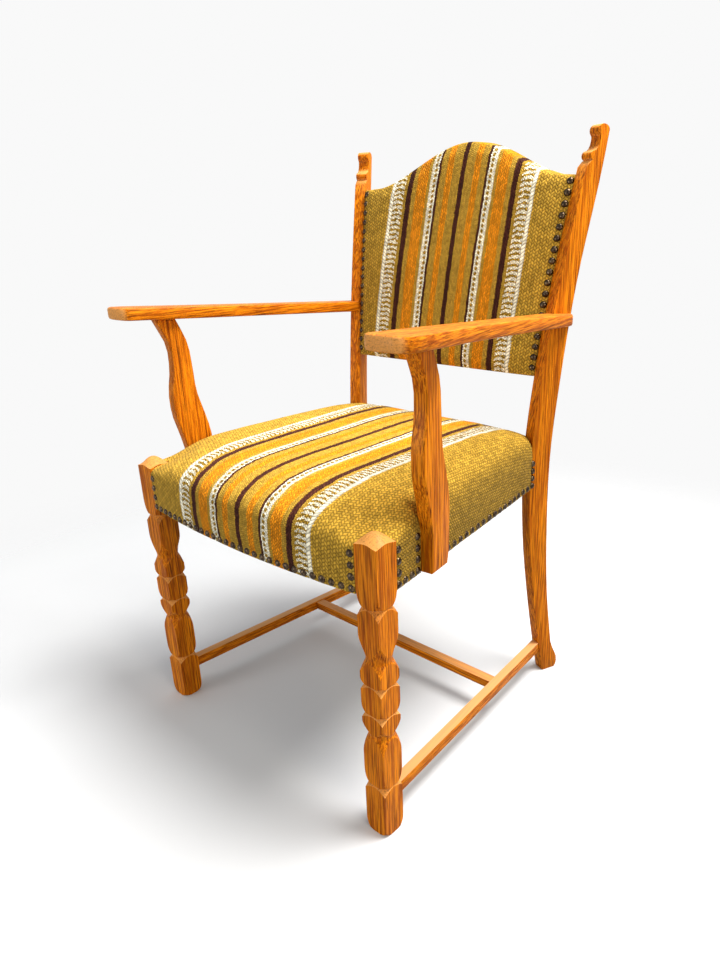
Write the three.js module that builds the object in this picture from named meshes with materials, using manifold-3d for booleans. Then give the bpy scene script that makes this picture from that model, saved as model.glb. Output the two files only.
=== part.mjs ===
import * as THREE from "three";
import { mergeVertices } from "three/addons/utils/BufferGeometryUtils.js";
import Module from "manifold-3d";

const wasm = await Module();
wasm.setup();

// High-back armchair in oak with an upholstered seat and back, in millimetres, +Z up, the sitter facing -Y.
// The front leg axes stand at y = 0 while the pieces are made; the whole chair is centred at the end.

// Clearances and cutting allowances
const fit = 0.3;
const overrun = 6;
const weldDistance = 0.001;

// Front legs: square stock, turned between its blocks
const legSide = 37;
const legSpread = 498;
const shoulderHeight = 450;
const domeRise = 14;
const grooveRadius = 17.7;
const footRadius = 23;

// Back posts: one sawn curve from floor to scroll, turned in towards the sitter
const postHeight = 932;
const postThickness = 21;
const postDepth = 39.7;
const postSpread = 363.4;
const postSetback = 388.6;
const postTurn = THREE.MathUtils.degToRad(21.5);
const rollRadius = 8.4;
const rollSetback = 6.4;
const lowerRollRadius = 6.8;
const lowerRollSetback = 2.4;
const lowerRollDrop = 42.5;
const shelfWidth = 8;
const shelfRise = 8;
const lowerRollArc = [250, 95];
const rollArc = [225, 90];

// Seat frame
const railBottom = 382;
const railHeight = 52;
const railThickness = 22;
const railInset = 5.3;
const frontBow = 15.5;
const backRailInset = 7;
const tenonThickness = 9;
const tenonLength = 12;
const tenonShoulder = 9;
const blockReach = 62;
const blockThickness = 20;
const blockHeight = 40;

// Stretchers
const stretcherWidth = 15;
const stretcherHeight = 18.5;
const stretcherBottom = 44;
const stretcherTenon = 9;
const crossSetback = 319;
const crossWidth = 19;
const crossHeight = 15;

// Arms and their posts
const armThickness = 19;
const armFrontHeight = 703;
const armFall = THREE.MathUtils.degToRad(4.5);
const armOverhang = 10;
const armFrontInner = 247;
const armFrontWidth = 64;
const armRearWidth = 50;
const armCorner = 16;
const armBulge = 3;
const armWaistShares = [0.62, 0.42];
const armEdge = 4;
const armRearOverlap = 1;
const armPostThickness = 21;
const armPostSetback = 78;
const armPostWidth = 43;
const armPostHang = 1;
const armPostTenonWidth = 20;
const armPostTenonHeight = 9;
const armPostEdge = 2;

// Screws through the side rails into the arm posts, their rows measured up from the rails' lower edge
const screwLength = 37;
const screwShankRadius = 2.2;
const screwHeadRadius = 4.4;
const screwHeadHeight = 2.6;
const screwRows = [18, 44];

// Back panel between the posts
const panelBottom = 566;
const panelShoulder = 864.5;
const crestRise = 63.5;
const crestReach = 205;
const crestShift = 9;
const panelThickness = 27;
const panelCrown = 5;
const backFrameThickness = 14;
const lowerRailHeight = 40;
const crestDepth = 46;
const stileWidth = 18;
const outsideCoverThickness = 2.4;
const backTenonHeight = 22;
const backTenonThickness = 7;

// Upholstery
const coverThickness = 2.7;
const coverHang = 2;
const seatCrown = 488;
const frontCornerRoll = 34;
const cornerPower = 7;
const cornerSinkReach = 45;
const legTopRoom = 1.2;
const strapWidth = 48;
const strapThickness = 2;
const longStrapCount = 3;
const crossStrapCount = 3;
const backStrapCount = 3;
const dustCoverThickness = 1.2;

// Number of facets round turned work and along curves
const turnedSegments = 24;
const roundSteps = 3;
const ogeeSteps = 4;
const swellSteps = 3;
const screwSegments = 8;
const bevelSteps = 2;
const cornerSteps = 6;
const curveSteps = 24;
const scrollSteps = 7;
const hollowSteps = 5;
const bowSteps = 16;
const crestSteps = 20;
const sideSteps = 6;
const flatSteps = 4;
const seatSideSteps = 6;
const armPostSteps = 16;

// Materials
const oak = new THREE.MeshStandardMaterial({ name: "oak", color: 0xd08a3c, roughness: 0.42, metalness: 0 });
const beech = new THREE.MeshStandardMaterial({ name: "beech", color: 0xc9a477, roughness: 0.7, metalness: 0 });
const wool = new THREE.MeshStandardMaterial({ name: "wool", color: 0xa07c2c, roughness: 0.95, metalness: 0 });
const padding = new THREE.MeshStandardMaterial({
  name: "padding", color: 0xe4d9bd, roughness: 1, metalness: 0,
});
const jute = new THREE.MeshStandardMaterial({ name: "jute", color: 0xb09468, roughness: 0.95, metalness: 0 });
const lining = new THREE.MeshStandardMaterial({
  name: "lining", color: 0x1d1b1a, roughness: 0.95, metalness: 0,
});
const steel = new THREE.MeshStandardMaterial({ name: "steel", color: 0x9a958c, roughness: 0.35, metalness: 1 });

/** A closed three.js geometry as a solid that can be joined and cut, its faces pointing out. */
function solidOf(geometry, matrix) {
  const placed = matrix ? geometry.clone().applyMatrix4(matrix) : geometry.clone();
  placed.deleteAttribute("normal");
  placed.deleteAttribute("uv");
  const merged = mergeVertices(placed, weldDistance);
  const vertProperties = new Float32Array(merged.attributes.position.array);
  const triVerts = new Uint32Array(merged.index.array);
  const solid = new wasm.Manifold(new wasm.Mesh({ numProp: 3, vertProperties, triVerts }));
  if (solid.volume() > 0) return solid;
  triVerts.reverse();
  return new wasm.Manifold(new wasm.Mesh({ numProp: 3, vertProperties, triVerts }));
}

/** The mesh of a solid, under the name of the piece. */
function pieceFrom(name, solid, material) {
  const data = solid.getMesh();
  const geometry = new THREE.BufferGeometry();
  geometry.setAttribute("position", new THREE.BufferAttribute(new Float32Array(data.vertProperties), 3));
  geometry.setIndex(new THREE.BufferAttribute(new Uint32Array(data.triVerts), 1));
  geometry.computeVertexNormals();
  const mesh = new THREE.Mesh(geometry, material);
  mesh.name = name;
  return mesh;
}

const up = new THREE.Vector3(0, 0, 1);
const plan = (x, y, z = 0) => new THREE.Vector3(x, y, z);
const mix = THREE.MathUtils.lerp;

/** A straight bar of rectangular section between two points of its centre line. */
function barSolid(from, to, width, height, grow = 0) {
  const along = to.clone().sub(from);
  const length = along.length();
  const forward = along.clone().normalize();
  const side = new THREE.Vector3().crossVectors(forward, up).normalize();
  const rise = new THREE.Vector3().crossVectors(side, forward);
  const matrix = new THREE.Matrix4().makeBasis(forward, side.negate(), rise);
  matrix.setPosition(from.clone().add(to).multiplyScalar(1 / 2));
  const box = new THREE.BoxGeometry(length + 2 * grow, width + 2 * grow, height + 2 * grow);
  return solidOf(box, matrix);
}

/** A plan outline raised from one height to another. */
function raisedSolid(points, bottom, top) {
  const shape = new THREE.Shape(points.map((p) => new THREE.Vector2(p.x, p.y)));
  const geometry = new THREE.ExtrudeGeometry(shape, { depth: top - bottom, bevelEnabled: false });
  return solidOf(geometry, new THREE.Matrix4().makeTranslation(0, 0, bottom));
}

/** A smooth value along a table of [position, value] rows. */
function smoothTable(rows) {
  const positions = rows.map((row) => row[0]);
  const values = rows.map((row) => row[1]);
  const curve = new THREE.CubicInterpolant(positions, values, 1);
  return (at) => curve.evaluate(THREE.MathUtils.clamp(at, positions[0], positions.at(-1)))[0];
}

// Front leg

const legX = legSpread / 2;
const legHalf = legSide / 2;
const cornerRadius = legHalf * Math.SQRT2;
const clearRadius = cornerRadius + fit;

// Each turned element: corner tip, start of the lower rounding and the neck below, as shares of the shoulder
// height, and how the tip is reached from the neck above and the neck from the rounding.
const turnedShares = [
  { tip: 1, round: 0.873, neck: 0.806, shoulder: "none", underside: "round" },
  { tip: 0.778, round: 0.722, neck: 0.631, shoulder: "cone", underside: "ogee" },
  { tip: 0.591, round: 0.571, neck: 0.549, shoulder: "cone", underside: "round" },
  { tip: 0.529, round: 0.484, neck: 0.446, shoulder: "cone", underside: "round" },
  { tip: 0.429, round: 0.418, neck: 0.367, shoulder: "cone", underside: "ogee" },
  { tip: 0.301, round: 0.24, neck: 0.182, shoulder: "swell", underside: "round" },
  { tip: 0.161, round: 0.028, neck: 0, shoulder: "cone", underside: "foot" },
];
const easing = {
  round: (t) => Math.sqrt(1 - t * t),
  ogee: (t) => (1 + Math.cos(Math.PI * t)) / 2,
  swell: (t) => Math.sin((Math.PI / 2) * t),
};
const domeShares = [[0, 1], [0.23, 0.9], [0.46, 0.62], [0.71, 0.24]];

function legTurning() {
  const points = domeShares.map(([radius, rise]) => [cornerRadius * radius, shoulderHeight + domeRise * rise]);
  points.push([cornerRadius, shoulderHeight]);
  let neckHeight = shoulderHeight;
  for (const element of turnedShares) {
    const tip = shoulderHeight * element.tip;
    const round = shoulderHeight * element.round;
    const neck = shoulderHeight * element.neck;
    if (element.shoulder === "swell") {
      for (let step = 1; step < swellSteps; step++) {
        const t = step / swellSteps;
        points.push([mix(grooveRadius, cornerRadius, easing.swell(t)), mix(neckHeight, tip, t)]);
      }
    }
    if (element.shoulder !== "none") points.push([cornerRadius, tip]);
    points.push([clearRadius, tip - fit], [clearRadius, round]);
    if (element.underside === "foot") {
      points.push([mix(footRadius, clearRadius, easing.round(1 / 2)), round / 2], [footRadius, 0], [0, 0]);
    } else {
      const steps = element.underside === "ogee" ? ogeeSteps : roundSteps;
      for (let step = 1; step <= steps; step++) {
        const t = step / steps;
        points.push([mix(grooveRadius, clearRadius, easing[element.underside](t)), mix(round, neck, t)]);
      }
    }
    neckHeight = neck;
  }
  return points.map(([radius, height]) => new THREE.Vector2(radius, height));
}

const legToChair = new THREE.Matrix4().makeTranslation(legX, 0, 0);

function legPrism(grow) {
  const height = shoulderHeight + domeRise;
  const box = new THREE.BoxGeometry(legSide + 2 * grow, legSide + 2 * grow, height + 2 * overrun);
  return solidOf(box, new THREE.Matrix4().makeTranslation(legX, 0, height / 2));
}

function frontLegSolid() {
  const turned = new THREE.LatheGeometry(legTurning(), turnedSegments);
  turned.rotateX(Math.PI / 2);
  return solidOf(turned, legToChair).intersect(legPrism(0));
}

// Back post: its curve lies in a plane turned by postTurn, with s along the plane from the post's foot point

// Front edge of the post: [height, sweep], both as shares of the post height.
const postSweepShares = [
  [0, 0.1056], [0.0768, 0.091], [0.1755, 0.0741], [0.3073, 0.0571], [0.4608, 0.0516],
  [0.6145, 0.0681], [0.7681, 0.0951], [0.9327, 0.133], [1, 0.1497],
];
// Depth of the post behind its front edge: [height as a share of the post height, share of the post depth].
const postDepthShares = [
  [0, 0.69], [0.005, 0.79], [0.013, 0.865], [0.025, 0.885], [0.043, 0.77], [0.063, 0.675], [0.0768, 0.69],
  [0.1755, 0.756], [0.3073, 0.93], [0.4608, 1], [0.6145, 0.952], [0.7681, 0.834], [0.9327, 0.775], [1, 0.66],
];
const sweepAt = smoothTable(postSweepShares);
const depthAt = smoothTable(postDepthShares);
const postFront = (z) => postHeight * sweepAt(z / postHeight);
const postRear = (z) => postFront(z) + postDepth * depthAt(z / postHeight);

const postX = postSpread / 2;
const postBack = new THREE.Vector3(Math.sin(postTurn), Math.cos(postTurn), 0);
const postOut = new THREE.Vector3(Math.cos(postTurn), -Math.sin(postTurn), 0);

/** The point of the chair at s along the post's plane, v out of it, at a height. */
function postPoint(s, v, z) {
  return plan(postX, postSetback, z).addScaledVector(postBack, s).addScaledVector(postOut, v);
}

/** An outline in the post's plane given thickness from v0 to v1. */
function postSlab(points, v0, v1) {
  const shape = new THREE.Shape(points.map(([s, z]) => new THREE.Vector2(s, z)));
  const geometry = new THREE.ExtrudeGeometry(shape, { depth: v1 - v0, bevelEnabled: false });
  const matrix = new THREE.Matrix4().makeBasis(postBack, up, postOut);
  matrix.setPosition(postPoint(0, v0, 0));
  return solidOf(geometry, matrix);
}

function arcPoints(s, z, radius, fromDegrees, toDegrees, steps) {
  return Array.from({ length: steps + 1 }, (_, i) => {
    const angle = THREE.MathUtils.degToRad(mix(fromDegrees, toDegrees, i / steps));
    return [s + radius * Math.cos(angle), z + radius * Math.sin(angle)];
  });
}

// Heights of the points round the post's heel, as shares of its height.
const heelShares = [0.063, 0.052, 0.043, 0.034, 0.025, 0.013, 0.005, 0];

function postOutline() {
  const rollZ = postHeight - rollRadius;
  const rollS = postFront(rollZ) + rollSetback + rollRadius;
  const lowerZ = postHeight - lowerRollDrop;
  const lowerS = postFront(lowerZ) + lowerRollSetback + lowerRollRadius;
  const shelfZ = lowerZ - lowerRollRadius;
  const lipZ = shelfZ - shelfRise;
  const points = [];
  for (let step = 0; step <= curveSteps; step++) {
    const z = (lipZ * step) / curveSteps;
    points.push([postFront(z), z]);
  }
  points.push([postFront(lipZ) + shelfWidth, shelfZ]);
  points.push(...arcPoints(lowerS, lowerZ, lowerRollRadius, ...lowerRollArc, scrollSteps));
  const hollowTop = [rollS - rollRadius / 2, rollZ - rollRadius];
  const hollowStart = points.at(-1);
  for (let step = 1; step <= hollowSteps; step++) {
    const t = step / hollowSteps;
    points.push([mix(hollowStart[0], hollowTop[0], Math.sin((Math.PI / 2) * t)),
      mix(hollowStart[1], hollowTop[1], 1 - Math.cos((Math.PI / 2) * t))]);
  }
  points.push(...arcPoints(rollS, rollZ, rollRadius, ...rollArc, scrollSteps));
  const topRear = postRear(rollZ);
  for (let step = 1; step <= hollowSteps; step++) {
    const t = ((Math.PI / 2) * step) / hollowSteps;
    points.push([mix(rollS, topRear, Math.sin(t)), mix(rollZ, postHeight, Math.cos(t))]);
  }
  for (let step = 1; step <= curveSteps; step++) {
    const z = mix(rollZ, postHeight * heelShares[0], step / curveSteps);
    points.push([postRear(z), z]);
  }
  for (const share of heelShares.slice(1)) points.push([postRear(postHeight * share), postHeight * share]);
  return points;
}

function backPostSolid() {
  return postSlab(postOutline(), -postThickness / 2, postThickness / 2);
}

/** Everything behind the post's front face, between v0 and v1, with the joint clearance and grow in front. */
function behindPostFront(v0, v1, grow = 0) {
  const points = [];
  for (let step = 0; step <= curveSteps; step++) {
    const z = (postHeight * step) / curveSteps;
    points.push([postFront(z) - fit - grow, z]);
  }
  const far = postFront(postHeight) + postSpread;
  points.push([far, postHeight], [far, 0]);
  return postSlab(points, v0, v1);
}

/** Everything outside the post's inner face, with the joint clearance inside it. */
function outsidePostInner() {
  const far = postSpread;
  return postSlab([[-far, 0], [far, 0], [far, postHeight], [-far, postHeight]], -postThickness / 2 - fit, far);
}

const postClear = () => behindPostFront(-postSpread, postSpread);

// Seat frame

const railTop = railBottom + railHeight;
const railMiddle = (railBottom + railTop) / 2;

// Outer line of the right side rail: from the leg's back face to the outer front corner of the post.
const railFrontPoint = plan(legX + legHalf - railInset, legHalf);
const railRearPoint = postPoint(postFront(railMiddle), postThickness / 2, 0);
const railAlong = railRearPoint.clone().sub(railFrontPoint).normalize();
const railOut = new THREE.Vector3().crossVectors(railAlong, up);

/** A point at a distance along the right rail's outer line, moved out of it, at a height. */
function railPoint(along, out, z) {
  return railFrontPoint.clone().addScaledVector(railAlong, along).addScaledVector(railOut, out).setZ(z);
}
const railLength = railRearPoint.distanceTo(railFrontPoint);

/** The side rail's outer line as x at a given y. */
const sideLineAt = (y) => railFrontPoint.x + (railAlong.x / railAlong.y) * (y - railFrontPoint.y);

function sideRailBody(grow = 0) {
  const from = railPoint(-overrun, -railThickness / 2, railMiddle);
  const to = railPoint(railLength + overrun, -railThickness / 2, railMiddle);
  return barSolid(from, to, railThickness, railHeight, grow);
}

function sideRailTenons(grow = 0) {
  const height = railHeight - 2 * tenonShoulder;
  const middle = -railThickness / 2;
  const front = barSolid(railPoint(-tenonLength, middle, railMiddle), railPoint(overrun, middle, railMiddle),
    tenonThickness, height, grow);
  const rear = barSolid(railPoint(railLength - 2 * overrun, middle, railMiddle),
    railPoint(railLength + tenonLength, middle, railMiddle), tenonThickness, height, grow);
  return { front, rear };
}

function sideRailSolid() {
  const { front, rear } = sideRailTenons();
  return sideRailBody().subtract(legPrism(fit)).subtract(postClear()).add(front).add(rear);
}

// Front rail: an arc that bows out between the legs.
const frontSpan = legX - legHalf - fit;
const frontFace = -(legHalf - coverThickness - fit);
const bowRadius = (frontSpan * frontSpan + frontBow * frontBow) / (2 * frontBow);
const bowAt = (x, set = 0) => {
  const radius = bowRadius - set;
  return frontFace - frontBow + bowRadius - Math.sqrt(Math.max(radius * radius - x * x, 0));
};

function frontRailBody(grow = 0) {
  const reach = frontSpan + grow;
  const outer = [];
  const inner = [];
  for (let step = 0; step <= bowSteps; step++) {
    const x = mix(-reach, reach, step / bowSteps);
    outer.push(plan(x, bowAt(x, -grow)));
    inner.unshift(plan(x, bowAt(x, railThickness + grow)));
  }
  return raisedSolid([...outer, ...inner], railBottom - grow, railTop + grow);
}

function frontRailTenon(grow = 0) {
  const y = bowAt(frontSpan, railThickness / 2);
  return barSolid(plan(frontSpan - overrun, y, railMiddle), plan(legX - legHalf + tenonLength, y, railMiddle),
    tenonThickness, railHeight - 2 * tenonShoulder, grow);
}

// Back rail between the posts.
const backRailFront = postPoint(postFront(railMiddle), -postThickness / 2, 0).y + backRailInset;
const backRailY = backRailFront + railThickness / 2;

function backRailBody(grow = 0) {
  return barSolid(plan(-legX, backRailY, railMiddle), plan(legX, backRailY, railMiddle),
    railThickness, railHeight, grow);
}

/** x of the post's inner face at a given y. */
const postInnerAt = (y) => {
  const face = postPoint(0, -postThickness / 2, 0);
  return face.x + ((y - face.y) * postBack.x) / postBack.y;
};

function backRailTenon(grow = 0) {
  const y = backRailY + tenonThickness / 4;
  const face = postInnerAt(y);
  return barSolid(plan(face - 2 * overrun, y, railMiddle), plan(face + tenonLength, y, railMiddle),
    tenonThickness, railHeight - 2 * tenonShoulder, grow);
}

/** A solid of the right side joined to its mirror image on the left. */
function bothSides(solid) {
  const data = solid.getMesh();
  const positions = new Float32Array(data.vertProperties);
  for (let i = 0; i < positions.length; i += 3) positions[i] = -positions[i];
  const triVerts = new Uint32Array(data.triVerts).reverse();
  const mirrored = new wasm.Manifold(new wasm.Mesh({ numProp: 3, vertProperties: positions, triVerts }));
  return solid.add(mirrored);
}

function frontRailSolid() {
  return frontRailBody().add(bothSides(frontRailTenon()));
}

function backRailSolid() {
  return backRailBody().subtract(bothSides(outsidePostInner())).add(bothSides(backRailTenon()));
}

// Glue blocks across the four inner corners of the seat frame.
function cornerBlockSolid(corner, towardX, towardY) {
  const half = blockThickness / 2;
  const a = plan(corner.x + towardX * blockReach, corner.y);
  const b = plan(corner.x, corner.y + towardY * blockReach);
  const across = b.clone().sub(a).normalize();
  const inward = plan(towardX, towardY).normalize();
  const outline = [
    a.clone().addScaledVector(across, -blockThickness).addScaledVector(inward, -half),
    b.clone().addScaledVector(across, blockThickness).addScaledVector(inward, -half),
    b.clone().addScaledVector(across, blockThickness).addScaledVector(inward, half),
    a.clone().addScaledVector(across, -blockThickness).addScaledVector(inward, half),
  ];
  const bottom = railMiddle - blockHeight / 2;
  const block = raisedSolid(outline, bottom, bottom + blockHeight);
  return block.subtract(sideRailBody(fit)).subtract(frontRailBody(fit)).subtract(backRailBody(fit))
    .subtract(railOutside());
}

/** The space outside the seat frame's outer faces on the right, in front and behind. */
function railOutside() {
  const out = legSpread;
  const y0 = bowAt(0) - overrun;
  const y1 = backRailY + railThickness / 2;
  const sideSlab = barSolid(railPoint(-out, out / 2 - railThickness / 2, railMiddle),
    railPoint(railLength + out, out / 2 - railThickness / 2, railMiddle), out, 2 * railHeight);
  const rear = raisedSolid(
    [plan(0, y1), plan(out, y1), plan(out, y1 + out), plan(0, y1 + out)], railBottom, railTop);
  const front = raisedSolid([plan(0, y0 - out), plan(out, y0 - out), plan(out, frontFace), plan(0, y0)],
    railBottom, railTop);
  return sideSlab.add(rear).add(front);
}

// Stretchers

const stretcherMiddle = stretcherBottom + stretcherHeight / 2;
const stretcherFront = plan(legX, legHalf, stretcherMiddle);
const stretcherRear = postPoint(postFront(stretcherMiddle), 0, stretcherMiddle);
const stretcherAlong = stretcherRear.clone().sub(stretcherFront).normalize();

function sideStretcherBody(grow = 0) {
  const from = stretcherFront.clone().addScaledVector(stretcherAlong, -overrun);
  const to = stretcherRear.clone().addScaledVector(stretcherAlong, overrun);
  return barSolid(from, to, stretcherWidth, stretcherHeight, grow);
}

function sideStretcherTenons(grow = 0) {
  const height = stretcherHeight - stretcherTenon / 2;
  const front = barSolid(stretcherFront.clone().addScaledVector(stretcherAlong, -tenonLength),
    stretcherFront.clone().addScaledVector(stretcherAlong, overrun), stretcherTenon, height, grow);
  const rear = barSolid(stretcherRear.clone().addScaledVector(stretcherAlong, -2 * overrun),
    stretcherRear.clone().addScaledVector(stretcherAlong, tenonLength), stretcherTenon, height, grow);
  return { front, rear };
}

const stretcherXAt = (y) => mix(stretcherFront.x, stretcherRear.x,
  (y - stretcherFront.y) / (stretcherRear.y - stretcherFront.y));

function crossTenon(grow = 0) {
  const x = stretcherXAt(crossSetback);
  return barSolid(
    plan(x - stretcherWidth, crossSetback, stretcherMiddle), plan(x, crossSetback, stretcherMiddle),
    crossWidth / 2, crossHeight - stretcherTenon / 2, grow);
}

function sideStretcherSolid() {
  const { front, rear } = sideStretcherTenons();
  return sideStretcherBody().subtract(legPrism(fit)).subtract(postClear()).subtract(crossTenon(fit))
    .add(front).add(rear);
}

function crossStretcherSolid() {
  const x = stretcherXAt(crossSetback);
  const body = barSolid(plan(-x, crossSetback, stretcherMiddle), plan(x, crossSetback, stretcherMiddle),
    crossWidth, crossHeight);
  return body.subtract(bothSides(sideStretcherBody(fit))).add(bothSides(crossTenon()));
}

// Arms: flat boards that fall towards the back and are notched round the posts

const armSlope = Math.tan(armFall);
const armTopAt = (y) => armFrontHeight - armSlope * (y + armOverhang);
const armUnderAt = (y) => armTopAt(y) - armThickness / Math.cos(armFall);

function armOutline() {
  const z = armUnderAt(postSetback);
  const frontInner = plan(armFrontInner, -armOverhang);
  const frontOuter = plan(armFrontInner + armFrontWidth, -armOverhang);
  const middle = (frontInner.x + frontOuter.x) / 2;
  const innerRear = postPoint(postFront(z) + overrun, -postThickness / 2, 0);
  const rearOuter = postPoint(postRear(z) + armRearOverlap, postThickness / 2, 0);
  const lobe = plan(rearOuter.x + armRearWidth - postThickness - armCorner, rearOuter.y - 2 * armCorner);
  const outline = new THREE.Shape();
  outline.moveTo(innerRear.x, innerRear.y);
  outline.lineTo(frontInner.x, frontInner.y + armCorner);
  outline.quadraticCurveTo(frontInner.x, frontInner.y, frontInner.x + armCorner, frontInner.y - armBulge / 2);
  outline.quadraticCurveTo(middle, frontInner.y - armBulge,
    frontOuter.x - armCorner, frontOuter.y - armBulge / 2);
  outline.quadraticCurveTo(frontOuter.x, frontOuter.y,
    frontOuter.x - armBulge / 2, frontOuter.y + 2 * armCorner);
  outline.quadraticCurveTo(mix(frontOuter.x, lobe.x, armWaistShares[0]),
    mix(frontOuter.y, lobe.y, armWaistShares[1]), lobe.x, lobe.y);
  outline.quadraticCurveTo(lobe.x - armBulge, rearOuter.y, rearOuter.x, rearOuter.y);
  outline.lineTo(innerRear.x, rearOuter.y);
  return outline;
}

function armTilt() {
  const tilt = new THREE.Matrix4().makeShear(0, 0, 0, -armSlope, 0, 0);
  return tilt.premultiply(new THREE.Matrix4().makeTranslation(0, 0, armUnderAt(0)));
}

function armSolid() {
  const board = new THREE.ExtrudeGeometry(armOutline(), {
    depth: armThickness - 2 * armEdge,
    bevelEnabled: true,
    bevelThickness: armEdge,
    bevelSize: armEdge,
    bevelOffset: -armEdge,
    bevelSegments: bevelSteps,
    curveSegments: cornerSteps,
  });
  board.translate(0, 0, armEdge);
  return solidOf(board, armTilt())
    .subtract(behindPostFront(-postSpread, postThickness / 2 + fit))
    .subtract(armPostTenon(fit));
}

// Arm posts: wavy boards lapped on the outside of the side rails

// Edges of the arm post: height as a share of the way from its bottom to the arm, and the place of the front
// and rear edge along the rail as shares of the post's width, from the front edge of its foot.
const armPostShares = [
  [0, 0.02, 0.92], [0.06, 0.02, 1], [0.19, 0, 1.03], [0.32, -0.16, 1.04], [0.45, -0.38, 0.85], [0.58, -0.41, 0.62],
  [0.72, -0.24, 0.57], [0.86, -0.27, 0.48], [1, -0.72, 0.1],
];
const armPostEdgeFront = smoothTable(armPostShares.map((row) => [row[0], row[1]]));
const armPostEdgeRear = smoothTable(armPostShares.map((row) => [row[0], row[2]]));

function armPostFrame() {
  const origin = railPoint(0, fit, 0);
  const matrix = new THREE.Matrix4().makeBasis(railAlong, up, railOut);
  return matrix.setPosition(origin);
}

/** Outline of the arm post in the rail's plane, as wide again by grow and reaching down by drop. */
function armPostOutline(grow, drop) {
  const foot = armPostSetback - legHalf;
  const front = [];
  const rear = [];
  for (let step = 0; step <= armPostSteps; step++) {
    const t = step / armPostSteps;
    const z = mix(railBottom - armPostHang, armUnderAt(armPostSetback), t);
    front.push([foot + armPostWidth * armPostEdgeFront(t) - grow, z]);
    rear.unshift([foot + armPostWidth * armPostEdgeRear(t) + grow, z]);
  }
  front[0][1] -= drop;
  rear[armPostSteps][1] -= drop;
  const frontTop = front[armPostSteps];
  frontTop[1] = armUnderAt(legHalf + frontTop[0]) - fit;
  rear[0][1] = armUnderAt(legHalf + rear[0][0]) - fit;
  return new THREE.Shape([...front, ...rear].map(([s, z]) => new THREE.Vector2(s, z)));
}

function armPostSolid() {
  const board = new THREE.ExtrudeGeometry(armPostOutline(0, 0), {
    depth: armPostThickness - 2 * armPostEdge,
    bevelEnabled: true,
    bevelThickness: armPostEdge,
    bevelSize: armPostEdge,
    bevelOffset: -armPostEdge,
    bevelSegments: 1,
  });
  board.translate(0, 0, armPostEdge);
  return solidOf(board, armPostFrame()).add(armPostTenon());
}

/** The arm post with room round it, where the cover is cut to let it reach the rail. */
function armPostRoom() {
  const depth = armPostThickness + overrun;
  const board = new THREE.ExtrudeGeometry(armPostOutline(fit, overrun), { depth, bevelEnabled: false });
  return solidOf(board, armPostFrame());
}

function armPostTenon(grow = 0) {
  const foot = armPostSetback - legHalf;
  const middle = foot + (armPostWidth * (armPostEdgeFront(1) + armPostEdgeRear(1))) / 2;
  const centre = railPoint(middle, fit + armPostThickness / 2, 0);
  const base = armUnderAt(centre.y) - 2 * overrun;
  const top = armUnderAt(centre.y) + armPostTenonHeight;
  return barSolid(
    railPoint(middle - armPostTenonWidth / 2, fit + armPostThickness / 2, (base + top) / 2),
    railPoint(middle + armPostTenonWidth / 2, fit + armPostThickness / 2, (base + top) / 2),
    tenonThickness, top - base, grow);
}

// Countersunk screws from the inside of the side rail into the arm post.
function screwSolid(height, grow = 0) {
  const shank = screwShankRadius + grow;
  const head = screwHeadRadius + grow;
  const profile = [
    [0, -grow], [head, -grow], [head, screwHeadHeight / 3], [shank, screwHeadHeight],
    [shank, screwLength - 2 * screwShankRadius], [0, screwLength + grow],
  ];
  const turned = new THREE.LatheGeometry(profile.map(([r, l]) => new THREE.Vector2(r, l)), screwSegments);
  const matrix = new THREE.Matrix4().makeBasis(railAlong, railOut, up.clone().negate());
  const along = armPostSetback - legHalf + armPostWidth / 2;
  matrix.setPosition(railPoint(along, -railThickness, height));
  return solidOf(turned, matrix);
}

const lowerScrew = (grow) => screwSolid(railBottom + screwRows[0], grow);
const upperScrew = (grow) => screwSolid(railBottom + screwRows[1], grow);
const allScrews = (grow) => lowerScrew(grow).add(upperScrew(grow));

// Back panel: its depth t runs back from the line of the posts' inner front corners

const panelTilt = Math.tan(postTurn);
const panelFront = (z) => postPoint(postFront(z), -postThickness / 2, 0);
const panelHalf = (z, t) => panelFront(z).x + panelTilt * t - fit;
const crestAt = (x) => {
  const share = Math.min(Math.abs(x - crestShift) / crestReach, 1);
  return panelShoulder + (crestRise * (1 + Math.cos(Math.PI * share))) / 2;
};
const panelPlace = (x, t, z) => new THREE.Vector3(x, panelFront(z).y + t, z);

/** Points round the panel at a depth t, drawn in from its edges by inset and by the roll of its front. */
function panelRing(inset, roll, t, top = crestAt, bottom = panelBottom) {
  const ring = [];
  const edge = (z) => panelHalf(z, t) - inset - roll;
  const shoulder = top(legSpread);
  const low = bottom + inset + roll;
  const high = shoulder - inset - roll;
  const crestLeft = 1 - (2 * roll) / (shoulder - bottom);
  for (let step = 0; step < crestSteps; step++) {
    const share = mix(1, -1, step / crestSteps);
    const z = high + (top(share * (edge(high) + roll)) - shoulder) * crestLeft;
    ring.push(panelPlace(share * edge(high), t, z));
  }
  for (let step = 0; step < sideSteps; step++) {
    const z = mix(high, low, step / sideSteps);
    ring.push(panelPlace(-edge(z), t, z));
  }
  for (let step = 0; step < flatSteps; step++) {
    ring.push(panelPlace(mix(-1, 1, step / flatSteps) * edge(low), t, low));
  }
  for (let step = 0; step < sideSteps; step++) {
    const z = mix(low, high, step / sideSteps);
    ring.push(panelPlace(edge(z), t, z));
  }
  return ring;
}

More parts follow.
